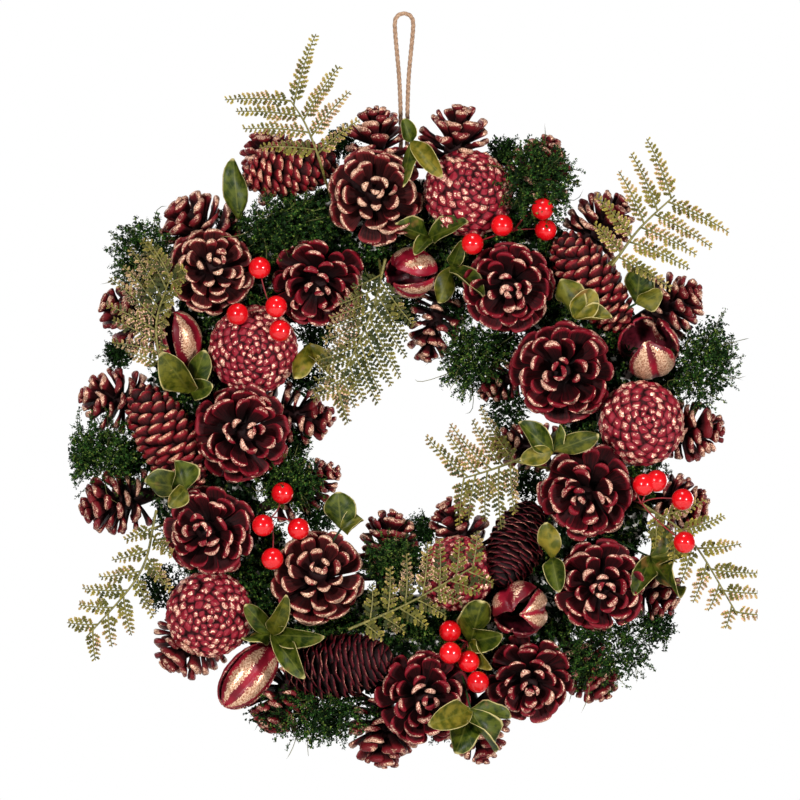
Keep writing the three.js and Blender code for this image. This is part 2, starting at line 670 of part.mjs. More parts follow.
// A thin sheet, thick along Y: triangles over points, with a wall along every edge that only one has.
function sheet(points, triangles, thickness) {
  const positions = [];
  const half = thickness / 2;
  const push = (index, face) => {
    const { x, y, z } = points[index];
    positions.push(x, y + face * half, z);
  };
  const edges = new Map();
  for (const [p, q, r] of triangles) {
    [p, q, r].forEach((index) => push(index, -1));
    [r, q, p].forEach((index) => push(index, 1));
    for (const [from, to] of [[p, q], [q, r], [r, p]]) {
      if (!edges.delete(`${to},${from}`)) edges.set(`${from},${to}`, [from, to]);
    }
  }
  for (const [from, to] of edges.values()) {
    const wall = [[to, -1], [from, -1], [from, 1], [to, -1], [from, 1], [to, 1]];
    wall.forEach(([index, face]) => push(index, face));
  }
  const geometry = new THREE.BufferGeometry();
  geometry.setAttribute("position", new THREE.Float32BufferAttribute(positions, 3));
  return solidOf(geometry);
}

// Adds a leaf to a sheet, on the edge between its points left and right: widths are [share of the length,
// half width] from the base on, and fold drops the edges back from the midrib.
function addLeaf(points, triangles, left, right, tip, widths, fold) {
  const base = points[left].clone().lerp(points[right], 0.5);
  const along = tip.clone().sub(base);
  const side = new THREE.Vector3(-along.z, 0, along.x).normalize();
  let [l, r] = [left, right];
  for (const [share, half] of widths) {
    const middle = base.clone().addScaledVector(along, share);
    middle.y += fold;
    points.push(middle.clone().addScaledVector(side, half), middle.clone().addScaledVector(side, -half));
    const [nextLeft, nextRight] = [points.length - 2, points.length - 1];
    triangles.push([l, r, nextRight], [l, nextRight, nextLeft]);
    [l, r] = [nextLeft, nextRight];
  }
  points.push(tip);
  triangles.push([l, r, points.length - 1]);
}

// The y that a blade's tip needs so that a straight line from its base clears the lumps.
const STEEPEST = 0.9; // a blade climbs at most this much for each mm of length
function clearTip(base, x, z, wanted, halfWidth) {
  let y = wanted;
  for (let i = 2; i <= 6; i++) {
    const s = i / 6;
    const room = frontOver(base.x + (x - base.x) * s, base.z + (z - base.z) * s, halfWidth) - 1.6;
    y = Math.min(y, base.y + (room - base.y) / s);
  }
  return Math.max(y, base.y - STEEPEST * Math.hypot(x - base.x, z - base.z));
}

// Where a stem goes into the foam: beside the channel, a little under the surface.
const ROOTED = { beside: 4, most: 15, deep: 2 };
function foamPoint(x, z) {
  const flat = new THREE.Vector3(x, 0, z);
  const off = clamp(flat.length() - RING.radius, -ROOTED.most, ROOTED.most);
  const radius = RING.radius + (off < 0 ? Math.min(off, -ROOTED.beside) : Math.max(off, ROOTED.beside));
  return flat.setLength(radius).setY(ringFront(radius) + ROOTED.deep);
}

// A frond: a stalk rises from the foam to a thin arched blade, cut into leaflets down to its rib.
const STEM_ROOM = GAP + 0.15;
const STALK_MEETS = 0.14; // the share of the stem where the stalk from the foam joins it
function fern({ stem, left, right, open, lift }) {
  const line = stem.map(([x, z]) => {
    return new THREE.Vector3(x, Math.min(lift, frontOver(x, z, PINNA.width / 2) - OVER_CONES), z);
  });
  const curve = new THREE.CatmullRomCurve3(line);
  const pairs = Math.max(left.length, right.length);
  const stations = 2 * pairs;
  const bladeOf = (grow) => {
    const points = [];
    const triangles = [];
    for (let k = 0; k <= stations; k++) {
      const at = RIB_START + ((1 - RIB_START) * k) / stations;
      const forward = curve.getTangentAt(at);
      const side = new THREE.Vector3(-forward.z, 0, forward.x).normalize();
      side.multiplyScalar(RIB + grow);
      const middle = curve.getPointAt(at);
      points.push(middle.clone().add(side), middle.clone().sub(side));
      if (k === 0) continue;
      const [l, r] = [2 * k - 2, 2 * k - 1];
      triangles.push([l, r, r + 2], [l, r + 2, l + 2]);
    }
    for (const [lengths, hand] of [[left, 1], [right, -1]]) {
      lengths.forEach((length, i) => {
        const k = 2 * (pairs - lengths.length) + 2 * i;
        const at = RIB_START + ((1 - RIB_START) * (k + 0.5)) / stations;
        const forward = curve.getTangentAt(at);
        const heading = Math.atan2(forward.z, forward.x) + hand * radians(open) * (1 - 0.2 * at);
        const base = curve.getPointAt(at);
        const [x, z] = [base.x + length * Math.cos(heading), base.z + length * Math.sin(heading)];
        const tip = new THREE.Vector3(x, clearTip(base, x, z, base.y + 2, PINNA.width / 2), z);
        const [near, far] = [2 * k, 2 * k + 2].map((index) => index + (hand > 0 ? 0 : 1));
        const half = PINNA.width / 2 + grow;
        const widths = [[0.3, half * 0.9], [0.68, half * 0.72]];
        if (hand > 0) addLeaf(points, triangles, near, far, tip, widths, 0.5);
        else addLeaf(points, triangles, far, near, tip, widths, 0.5);
      });
    }
    return sheet(points, triangles, PINNA.thickness + 2 * grow);
  };
  const top = curve.getPointAt(STALK_MEETS);
  const stalkOf = (grow) => bar(foamPoint(top.x, top.z), top, RACHIS_RADIUS + grow, 4);
  return { blades: [bladeOf(0)], stem: stalkOf(0), stemRoom: stalkOf(STEM_ROOM), room: bladeOf(STEM_ROOM) };
}

// A sprig: leaves round a small hub, all one thin blade. Each stays within its share of the circle.
const HUB = 1.5;
const FOOT = 40; // a leaf's foot takes at most this many degrees of the hub on each side
function sprigBlade(sprig, grow) {
  const node = sprigNode(sprig);
  const leaves = [...sprig.leaves].sort((p, q) => p[0] - q[0]);
  const gaps = leaves.map(([heading], i) => {
    const next = leaves[(i + 1) % leaves.length][0] + (i + 1 === leaves.length ? 360 : 0);
    return next - heading;
  });
  const points = [];
  const triangles = [];
  const corner = (angle) => {
    const turn = radians(angle);
    points.push(new THREE.Vector3(HUB * Math.cos(turn), 0, HUB * Math.sin(turn)).add(node));
    return points.length - 1;
  };
  const feet = leaves.map(([heading], i) => {
    const first = gaps.at(i - 1) < 2 * FOOT ? null : corner(heading - FOOT);
    const second = corner(heading + Math.min(gaps[i] / 2, FOOT));
    return { first, second };
  });
  feet.forEach((foot, i) => {
    foot.first ??= feet.at(i - 1).second;
  });
  const around = [...new Set(feet.flatMap(({ first, second }) => [first, second]))];
  for (let i = 1; i + 1 < around.length; i++) triangles.push([around[0], around[i], around[i + 1]]);
  leaves.forEach(([heading, length, width], i) => {
    const turn = radians(heading);
    const [x, z] = [node.x + length * Math.cos(turn), node.z + length * Math.sin(turn)];
    const tip = new THREE.Vector3(x, clearTip(node, x, z, node.y - 3, width / 2), z);
    const share = Math.tan(radians(Math.min(gaps[i], gaps.at(i - 1), 150) / 2)) * 0.92;
    const form = length > LONG_LEAF ? [[0.3, 0.8], [0.62, 1]] : [[0.5, 1]];
    const widths = form.map(([at, full]) => {
      const half = Math.min((width / 2) * full, at * length * share);
      return [at, half + grow];
    });
    addLeaf(points, triangles, feet[i].second, feet[i].first, tip, widths, i % 2 ? 1.2 : 0.6);
  });
  return sheet(points, triangles, LEAF_THICKNESS + 2 * grow);
}

// A garland of leaf sprigs: a stem in the ring's channel, and a twig to each sprig.
function garland(sprigs) {
  const depth = RING.back - RING.thickness + CHANNEL.depth - GAP - LEAF_STEM.radius;
  const onRing = (angle, y) =>
    new THREE.Vector3(RING.radius * Math.cos(angle), y, RING.radius * Math.sin(angle));
  const angles = unwrapped(sprigs.map(({ x, z }) => Math.atan2(z, x)));
  const [first, last] = [Math.min(...angles), Math.max(...angles)];
  const count = Math.ceil((last - first) / radians(10)) + 1;
  const line = Array.from({ length: count }, (_, i) => {
    return onRing(first + ((last - first) * i) / (count - 1), depth);
  });
  const twigOf = (grow) =>
    sprigs.map((sprig, i) => {
      const radius = LEAF_STEM.twig + grow;
      return bar(onRing(angles[i], depth), sprigNode(sprig), radius, 4);
    });
  const stem = tube(line, LEAF_STEM.radius, 4, count - 1);
  return {
    blades: sprigs.map((sprig) => sprigBlade(sprig, 0)),
    stem: joined([stem, ...twigOf(0)]),
    stemRoom: joined([stem, ...twigOf(STEM_ROOM)]),
    room: joined(sprigs.map((sprig) => sprigBlade(sprig, STEM_ROOM))),
  };
}

function sprigNode({ x, z }) {
  return new THREE.Vector3(x, Math.min(frontOver(x, z, 4) - 2, -26), z);
}

// Angles in turn order, so that no neighbour differs by more than half a turn.
function unwrapped(angles) {
  return angles.map((angle) => {
    let turned = angle;
    while (turned - angles[0] > Math.PI) turned -= 2 * Math.PI;
    while (turned - angles[0] < -Math.PI) turned += 2 * Math.PI;
    return turned;
  });
}

// Four glossy berries on wires that meet and go down to the foam. Each lies just clear of the lumps.
const BERRY_STEM = { radius: 0.8, wire: 0.6, back: 2, above: 12, front: -30 };
function berrySpray({ root, front = BERRY_STEM.front, berries }) {
  const places = berries.map(([x, z]) => {
    const startAt = Math.min(ringFront(Math.hypot(x, z)) - BERRY_STEM.above, front);
    const place = new THREE.Vector3(x, startAt, z);
    const near = lumps.filter(({ middle }) => middle.distanceTo(place) < FAR).flatMap(surfacePoints);
    const clear = BERRY_RADIUS + 0.6;
    const blocked = () =>
      frontAt(x, z, lumps) < place.y + BERRY_RADIUS || near.some((point) => point.distanceTo(place) < clear);
    while (blocked()) place.y -= 0.5;
    return place;
  });
  const hubDepth = Math.max(...places.map(({ y }) => y)) + BERRY_STEM.back;
  const hub = new THREE.Vector3(root[0], hubDepth, root[1]);
  const stemOf = (grow) =>
    joined([
      bar(foamPoint(...root), hub, BERRY_STEM.radius + grow, 3),
      ...places.map((place) => bar(hub, place, BERRY_STEM.wire + grow, 3)),
    ]);
  const ballOf = (place, grow) =>
    solidOf(new THREE.OctahedronGeometry(BERRY_RADIUS + grow, 1).translate(place.x, place.y, place.z));
  return {
    solid: joined([stemOf(0), ...places.map((place) => ballOf(place, 0))]),
    stemRoom: stemOf(STEM_ROOM),
    room: joined([stemOf(STEM_ROOM), ...places.map((place) => ballOf(place, CLEAR_ROOM))]),
  };
}

// A small seeded random number from 0 to 1, the same every run.
function seeded(seed) {
  let state = seed * 2654435761;
  return () => {
    state = (Math.imul(state ^ (state >>> 15), 2246822519) + 3266489917) >>> 0;
    return state / 4294967296;
  };
}

// The stem that carries a green spray's core on the foam.
const SPRAY_STEM = 1.6;
function sprayStem({ middle, a }, grow) {
  const inCore = middle.clone().setY(middle.y - a / 2);
  return bar(foamPoint(middle.x, middle.z), inCore, SPRAY_STEM + grow, 4);
}

// A spray of fine pointed twigs round a slim core. A twig that would cross another piece is left out.
const TWIG = { tries: 48, root: 1.5, room: 2, most: 12 };
function greenSpray(lump, index, others) {
  const random = seeded(index + 1);
  const core = new THREE.IcosahedronGeometry(1, 0).scale(lump.a, lump.a, lump.c);
  const body = largestBody(cutBy(trimmed(solidOf(placed(core, lump)), lump).add(sprayStems[index]), others));
  let whole = body;
  let made = 0;
  for (let k = 0; k < TWIG.tries && made < TWIG.most; k++) {
    const height = 1 - (2 * (k + 0.5)) / TWIG.tries;
    const out = Math.sqrt(1 - height * height);
    const angle = k * GOLDEN_ANGLE + random() * 0.5;
    const along = new THREE.Vector3(out * Math.cos(angle), -Math.abs(out * Math.sin(angle)), height);
    along.applyQuaternion(turnTo(lump.axis)).normalize();
    if (along.y > 0.2) continue;
    const reach = reachOf(lump, along);
    const root = lump.middle.clone().addScaledVector(along, reach * 0.35);
    const tip = lump.middle.clone().addScaledVector(along, reach + lump.reach * (0.45 + 0.55 * random()));
    const side = along.clone().cross(direction(0.3, 0.8, 0.5)).normalize();
    const other = along.clone().cross(side);
    const spike = (radius) => {
      const corners = [0, 1, 2].map((i) => {
        const turnBy = (2 * Math.PI * i) / 3;
        const offset = side.clone().multiplyScalar(Math.cos(turnBy)).addScaledVector(other, Math.sin(turnBy));
        return root.clone().addScaledVector(offset, radius);
      });
      const end = tip.clone().addScaledVector(along, radius - TWIG.root);
      return solidOf(new ConvexGeometry([...corners, end]));
    };
    const twig = spike(TWIG.root);
    const rooted = twig.intersect(body).volume() > 0.3;
    const clear = !others.some((room) => room.intersect(spike(TWIG.room)).volume() > 0.001);
    if (!rooted || !clear) continue;
    whole = whole.add(twig);
    made += 1;
  }
  return largestBody(whole);
}

// The wire that a string of rim cones is bound on.
function rimWire(string, grow) {
  const radius = string[0].side > 0 ? WIRE.outer : WIRE.inner;
  const [first, last] = [Math.min, Math.max].map((pick) => pick(...string.map(({ at }) => at)));
  const count = Math.round((last - first) / 12);
  const line = Array.from({ length: count + 1 }, (_, i) => {
    const angle = radians(first + ((last - first) * i) / count);
    return new THREE.Vector3(radius * Math.cos(angle), WIRE.depth, radius * Math.sin(angle));
  });
  return tube(line, WIRE.radius + grow, 3, count);
}

// The hanging loop, or the room round it when grown.
function hangingLoop(grow) {
  const route = LOOP_ROUTE.map(([x, y, z]) => new THREE.Vector3(x, y, z + DROP));
  return tube(route, CORD.radius + grow, CORD.sides, CORD.steps);
}

const ring = ringSolid(0);
const ringRoom = ringSolid(GAP * 0.8);
const loopRoom = hangingLoop(CLEAR_ROOM);

// Thin pieces first: the lumps are cut by their stems, and their blades keep clear of the lumps.
const berrySprays = BERRY_SPRAYS.map(berrySpray);
const thin = [...LEAF_GARLANDS.map(garland), ...FERNS.map(fern)];
const sprayStems = sprayCores.map((lump) => sprayStem(lump, 0));
const stemRooms = [
  ...berrySprays.map(({ stemRoom }) => stemRoom),
  ...thin.map(({ stemRoom }) => stemRoom),
  ...sprayCores.map((lump) => sprayStem(lump, STEM_ROOM)),
];

const wreath = new THREE.Group();
wreath.position.z = -DROP;
const add = (name, solid, material) => wreath.add(meshOf(name, solid, material));
const numbered = (name, index) => `${name}_${String(index + 1).padStart(2, "0")}`;

add("foam_ring", ring, FOAM);
add("hanging_loop", hangingLoop(0), JUTE);

const wireRooms = rimStrings.map((string) => rimWire(string, 2 * STEM_ROOM));
const lumpSolids = new Map();
function finished(lump, shape) {
  const wires = wireRooms.filter((_, i) => !rimStrings[i].includes(lump));
  const solid = largestBody(cutBy(trimmed(shape, lump), [ringRoom, loopRoom, ...stemRooms, ...wires]));
  lumpSolids.set(lump, solid);
  return solid;
}
function addEach(name, some, shapeOf, material) {
  some.forEach((lump, i) => add(numbered(name, i), finished(lump, shapeOf(lump)), material));
}
addEach("open_cone", openCones, (lump) => scaledCone(lump, OPEN_SCALES), CONE_RED);
addEach("seed_pod", pods, pod, POD_RED);
addEach("long_cone", longCones, (lump) => scaledCone(lump, LONG_SCALES), CONE_RED);
addEach("base_cone", baseCones, knobbedBase, BASE_RED);
const strings = rimStrings.map((string) => {
  const solids = string.map((lump) => finished(lump, scaledCone(lump, RIM_SCALES)));
  return joined([...solids, rimWire(string, 0)]);
});
strings.forEach((solid, i) => {
  const outer = i < outerStrings.length;
  const name = outer ? numbered("rim_cones_outer", i) : numbered("rim_cones_inner", i - outerStrings.length);
  add(name, largestBody(solid), CONE_RED);
});

// Blades that still meet a lump are cut back to its room, and later pieces to the ones before them.
const berryRooms = berrySprays.map(({ room }) => room);
berrySprays.forEach(({ solid }, i) => {
  const clear = cutBy(solid, [ringRoom, ...berryRooms.slice(0, i)]);
  add(numbered("berry_spray", i), largestBody(clear), BERRY_RED);
});
thin.forEach(({ blades, stem }, i) => {
  const clear = blades.map((leaf) => {
    const met = [...lumpSolids].filter(([, solid]) => solid.intersect(leaf).volume() > 0);
    return cutBy(leaf, met.map(([lump]) => roomOf(lump)));
  });
  const before = thin.slice(0, i).flatMap((piece) => [piece.stemRoom, piece.room]);
  const whole = cutBy(joined([stem, ...clear]), [ringRoom, loopRoom, ...berryRooms, ...before]);
  const isFern = i >= LEAF_GARLANDS.length;
  const name = isFern ? numbered("fern_frond", i - LEAF_GARLANDS.length) : numbered("leaf_garland", i);
  add(name, largestBody(whole), isFern ? FERN_GREEN : LEAF_GREEN);
});

const others = [
  ringRoom,
  loopRoom,
  ...stemRooms.slice(0, -sprayCores.length),
  ...berryRooms,
  ...thin.map(({ room }) => room),
  ...strings,
  ...lumpSolids.values(),
];
sprayCores.forEach((lump, i) => {
  const wide = Math.max(lump.a, lump.c) + lump.reach + TWIG.room;
  const near = others.filter((room) => {
    const { min, max } = room.boundingBox();
    const inX = min[0] < lump.x + wide && max[0] > lump.x - wide;
    return inX && min[2] < lump.z + wide && max[2] > lump.z - wide;
  });
  const solid = greenSpray(lump, i, near);
  others.push(solid);
  add(numbered("green_spray", i), solid, GREEN);
});

const part = new THREE.Group();
part.add(wreath);

export default part;
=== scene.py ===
"""The looks of a Christmas wreath of dyed pine cones, seed pods, ferns, leaves, moss and berries.

Metres. X to the right, Z up, Y away from the viewer, the origin inside the top of the hanging loop.
Shapes are made round the ring's centre and moved down by DROP at the end.
"""

import math

import bpy
import numpy as np
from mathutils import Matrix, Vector


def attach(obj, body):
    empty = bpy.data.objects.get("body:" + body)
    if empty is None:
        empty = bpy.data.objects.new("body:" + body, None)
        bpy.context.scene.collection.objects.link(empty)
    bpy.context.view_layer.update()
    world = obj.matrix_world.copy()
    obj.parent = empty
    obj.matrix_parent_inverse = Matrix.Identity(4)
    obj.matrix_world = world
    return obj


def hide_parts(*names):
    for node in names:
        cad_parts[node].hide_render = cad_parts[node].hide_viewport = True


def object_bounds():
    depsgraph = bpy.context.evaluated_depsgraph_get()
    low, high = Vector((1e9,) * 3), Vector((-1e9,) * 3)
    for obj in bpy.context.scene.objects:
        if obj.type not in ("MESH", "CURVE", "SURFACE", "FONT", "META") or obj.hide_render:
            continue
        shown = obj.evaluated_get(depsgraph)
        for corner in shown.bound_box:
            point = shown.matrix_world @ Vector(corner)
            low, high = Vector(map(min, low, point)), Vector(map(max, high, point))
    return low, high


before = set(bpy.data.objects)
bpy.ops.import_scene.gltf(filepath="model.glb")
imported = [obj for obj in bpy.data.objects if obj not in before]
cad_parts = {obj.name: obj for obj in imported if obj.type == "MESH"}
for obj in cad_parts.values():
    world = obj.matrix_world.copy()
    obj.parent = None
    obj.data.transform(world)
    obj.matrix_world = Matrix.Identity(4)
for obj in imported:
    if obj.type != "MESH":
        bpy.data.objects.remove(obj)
CAD_LOW, CAD_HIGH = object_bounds()

# The wreath's driving sizes, as in the part.
DROP = 0.231
RING_RADIUS, RING_HALF, RING_BACK, RING_THICK = 0.115, 0.027, 0.012, 0.030
SINK, POD_SINK = 0.0032, 0.0011  # how far the cones' and the pods' rooms reach into the foam's section
DEEPEST_FRONT = -0.022  # the middle of a piece on the front is no further back than this
FAR = 0.060  # further than any piece reaches from its middle
RIM_LEAN, RIM_BACK_SPACE = 12, 0.001  # degrees forward, and the room left behind
PROUD = 0.001  # how far a spray's middle may lie behind what it grows over
BERRY_RADIUS = 0.006
GOLDEN_ANGLE = math.radians(137.508)
SAMPLES = 240  # points on the surface of a cone's or pod's room
KEEP_INSIDE = 0.0002  # every piece stays this far inside the solids' box
MM = 0.001

# x and z of the middle, half width, half length, lean off straight ahead and to where it leans.
OPEN_CONES = [
    (-0.105, 0.090, 0.0250, 0.023, 18, 45),
    (-0.046, 0.084, 0.0265, 0.023, 20, -90),
    (-0.016, 0.130, 0.0275, 0.023, 10, 80),
    (0.057, 0.081, 0.0265, 0.023, 12, -100),
    (0.086, 0.035, 0.0295, 0.025, 6, 180),
    (0.099, -0.030, 0.0280, 0.024, 18, -130),
    (0.106, -0.081, 0.0270, 0.024, 5, -60),
    (-0.089, 0.002, 0.0285, 0.025, 20, 0),
    (-0.105, -0.051, 0.0260, 0.023, 14, 175),
    (-0.047, -0.077, 0.0275, 0.024, 20, 80),
    (0.010, -0.142, 0.0275, 0.024, 8, -20),
    (0.068, -0.132, 0.0255, 0.023, 18, -90),
]
BASE_CONES = [
    (-0.082, 0.047, 0.0245, 0.017, 4, -90),
    (0.035, 0.132, 0.0250, 0.018, 24, 60),
    (0.129, 0.007, 0.0235, 0.019, 12, 45),
    (-0.106, -0.097, 0.0240, 0.018, 10, -60),
    (0.029, -0.075, 0.0210, 0.018, 24, 135),
]
# x, z, half width, half length, heading of the tip in the wreath's plane, and its rise.
LONG_CONES = [
    (-0.129, -0.001, 0.0170, 0.033, 121, 4),
    (-0.062, 0.146, 0.0155, 0.027, 10, 4),
    (0.102, 0.084, 0.0165, 0.032, 125, 5),
    (-0.035, -0.125, 0.0180, 0.031, 10, 12),
    (0.061, -0.059, 0.0160, 0.027, -114, 25),
]
# The same for the rooms of the pods.
PODS = [
    (-0.123, 0.053, 0.0135, 0.0170, 105, 25),
    (0.004, 0.089, 0.0145, 0.0155, -60, 55),
    (0.133, 0.048, 0.0175, 0.0190, 110, 58),
    (0.063, -0.094, 0.0160, 0.0165, -20, 65),
    (-0.085, -0.131, 0.0135, 0.0220, 230, 10),
]
# Angle round the ring from the right, half width, half length, and the room behind if not the usual one.
OUTER_STRINGS = [
    [(80, 0.022, 0.027, 0.005), (63, 0.0195, 0.025), (47, 0.020, 0.0225), (26, 0.020, 0.0245),
     (1, 0.0185, 0.021), (-14, 0.017, 0.019)],
    [(-32, 0.018, 0.0215), (-52, 0.018, 0.0245), (-76, 0.020, 0.026), (-94, 0.022, 0.0255),
     (-115, 0.0205, 0.023), (-136, 0.022, 0.0255)],
    [(193, 0.020, 0.0245), (173, 0.019, 0.023), (156, 0.0195, 0.0245), (135, 0.023, 0.0245),
     (116, 0.0195, 0.026), (95, 0.020, 0.025, 0.005)],
]
INNER_STRINGS = [
    [(75, 0.016, 0.027), (29, 0.014, 0.024), (-5, 0.0155, 0.024)],
    [(-60, 0.017, 0.0275), (-98, 0.019, 0.028), (-153, 0.016, 0.028), (-191, 0.018, 0.029)],
]
# x, y, z of the middle, half width, half length, heading and how far the twigs reach past it.
GREEN_SPRAYS = [
    (-0.140, -0.020, 0.097, 0.010, 0.013, 120, 0.016),
    (-0.063, -0.028, 0.115, 0.010, 0.018, 5, 0.015),
    (-0.172, -0.014, -0.010, 0.008, 0.014, 0, 0.021),
    (0.072, -0.024, 0.137, 0.012, 0.015, 60, 0.017),
    (0.039, -0.012, 0.043, 0.010, 0.012, 60, 0.015),
    (0.164, -0.018, 0.040, 0.009, 0.016, 80, 0.015),
    (-0.063, -0.020, -0.024, 0.008, 0.011, 0, 0.012),
    (-0.005, -0.016, -0.069, 0.008, 0.011, 0, 0.012),
    (0.110, -0.020, -0.116, 0.011, 0.020, 15, 0.016),
    (-0.048, -0.020, -0.151, 0.009, 0.025, -2, 0.013),
]
# Stem from root to tip, leaflet lengths in millimetres on its left and its right, their angle off the stem,
# its depth, how many leaflets there are for each of these lengths, and how pale it is.
FERNS = [
    ([(-0.045, 0.148), (-0.053, 0.168), (-0.061, 0.181)],
     (36, 38, 36), (34, 38, 42), 70, -0.046, 1.25, 0.6),
    ([(0.112, 0.092), (0.127, 0.112), (0.146, 0.130)],
     (22, 34, 36, 38), (36, 38, 40, 40), 82, -0.048, 1.25, 0.8),
    ([(-0.130, 0.030), (-0.134, 0.060), (-0.126, 0.086)],
     (24, 32, 38, 30), (3, 4, 8, 10), 66, -0.044, 2.4, 0.25),
    ([(-0.010, 0.096), (-0.018, 0.066), (-0.036, 0.026)],
     (34, 38, 34, 22), (22, 30, 28, 18), 52, -0.044, 2.7, 0.1),
    ([(0.064, -0.012), (0.048, -0.018), (0.032, -0.023)],
     (32, 36, 26), (36, 34, 34), 80, -0.034, 1.7, 0.35),
    ([(-0.134, -0.040), (-0.143, -0.074), (-0.172, -0.109)],
     (18, 26, 26, 18), (20, 26, 26, 18), 62, -0.040, 1.6, 0.5),
    ([(-0.030, -0.104), (0.002, -0.090), (0.038, -0.070)],
     (24, 30, 30, 20), (14, 22, 22, 18), 66, -0.052, 1.8, 0.3),
    ([(0.128, -0.036), (0.155, -0.056), (0.180, -0.096)],
     (28, 30, 28, 18), (24, 26, 24, 16), 62, -0.042, 1.5, 0.7),
]
# Sprigs: x and z of the node, then each leaf's heading, and its length and width in millimetres.
LEAF_GARLANDS = [
    [
        (0.004, 0.160, [(-100, 26, 9), (-50, 26, 10), (110, 13, 8)]),
        (0.014, 0.108, [(160, 20, 13), (20, 22, 12), (-130, 13, 8)]),
        (0.026, 0.092, [(-110, 21, 11), (-45, 24, 11), (70, 15, 8)]),
        (0.092, 0.064, [(110, 22, 17), (55, 18, 14), (0, 20, 10)]),
        (0.126, 0.072, [(85, 20, 16), (25, 15, 12)]),
        (0.080, -0.008, [(20, 26, 11), (140, 24, 12), (195, 18, 10), (75, 15, 10)]),
    ],
    [
        (0.080, -0.066, [(100, 20, 12), (-80, 18, 11)]),
        (0.134, -0.066, [(-55, 26, 16), (5, 22, 14), (-115, 22, 12), (60, 20, 12)]),
        (0.036, -0.112, [(75, 24, 17), (15, 18, 13), (-50, 18, 11)]),
        (0.036, -0.148, [(-110, 24, 17), (-60, 26, 16), (-165, 24, 14), (-10, 22, 12)]),
        (-0.072, -0.108, [(130, 22, 10), (0, 29, 11), (-50, 29, 12), (185, 16, 11), (70, 24, 10)]),
    ],
    [
        (-0.034, -0.050, [(95, 20, 17), (20, 13, 11)]),
        (-0.118, -0.028, [(170, 22, 16), (110, 16, 16), (230, 13, 10)]),
        (-0.116, 0.024, [(70, 24, 13), (125, 26, 17), (15, 13, 11)]),
        (-0.052, 0.050, [(-110, 20, 12), (-55, 20, 11)]),
        (-0.090, 0.118, [(95, 33, 13)]),
    ],
]
# Where the wires meet the foam, how far forward the berries stand at least, then each berry's x and z.
BERRY_SPRAYS = [
    ((-0.072, 0.070), -0.030, [(-0.078, 0.091), (-0.090, 0.066), (-0.069, 0.070), (-0.067, 0.057)]),
    ((0.060, 0.112), -0.030, [(0.037, 0.104), (0.053, 0.114), (0.075, 0.123), (0.077, 0.112)]),
    ((-0.072, -0.044), -0.030, [(-0.066, -0.031), (-0.076, -0.048), (-0.057, -0.050), (-0.071, -0.066)]),
    ((0.034, -0.112), -0.030, [(0.025, -0.106), (0.025, -0.117), (0.035, -0.122), (0.040, -0.133)]),
    ((0.128, -0.036), -0.052, [(0.129, -0.026), (0.136, -0.024), (0.150, -0.034), (0.151, -0.057)]),
]
# The hanging loop's route, from the origin.
CORD_RADIUS = 0.00125
LOOP_ROUTE = [
    (0.0017, 0.0095, -0.0888),
    (0.0017, 0.0088, -0.082),
    (0.0017, 0.0078, -0.073),
    (0.0018, 0.0065, -0.062),
    (0.002, 0.0049, -0.048),
    (0.0026, 0.0033, -0.0335),
    (0.0037, 0.0019, -0.021),
    (0.0047, 0.0007, -0.011),
    (0.005, 0, -0.00375),
    (0.00354, 0, -0.00021),
    (0, 0, 0.00125),
    (-0.00354, 0, -0.00021),
    (-0.005, 0, -0.00375),
    (-0.0047, 0.0007, -0.011),
    (-0.0038, 0.0019, -0.021),
    (-0.0027, 0.0033, -0.0335),
    (-0.002, 0.0049, -0.048),
    (-0.0018, 0.0065, -0.062),
    (-0.0017, 0.0078, -0.073),
    (-0.0017, 0.0088, -0.082),
    (-0.0017, 0.0095, -0.0888),
]


# Vectors and curves
CURVE_STEPS = 40


def unit(vectors):
    return vectors / np.maximum(np.linalg.norm(vectors, axis=-1, keepdims=True), 1e-12)


def smooth(low, high, value):
    share = np.clip((value - low) / (high - low), 0, 1)
    return share * share * (3 - 2 * share)


def catmull(points, count):
    """count places along a smooth curve through points, evenly spaced, and the curve's length."""
    points = np.asarray(points, float)
    before = 2 * points[0] - points[1]
    after = 2 * points[-1] - points[-2]
    knots = np.vstack([before, points, after])
    fine = []
    for i in range(1, len(knots) - 2):
        p, q, r, s = knots[i - 1 : i + 3]
        t = np.linspace(0, 1, CURVE_STEPS, endpoint=False)[:, None]
        cubic = (3 * q - p - 3 * r + s) * t**3
        fine.append(0.5 * (2 * q + (r - p) * t + (2 * p - 5 * q + 4 * r - s) * t**2 + cubic))
    fine = np.vstack([*fine, points[-1:]])
    run = np.concatenate([[0], np.cumsum(np.linalg.norm(np.diff(fine, axis=0), axis=1))])
    at = np.linspace(0, run[-1], count)
    return np.stack([np.interp(at, run, fine[:, k]) for k in range(3)], -1), run[-1]


# Meshes
VALUES = ("rub", "along", "across", "tone")


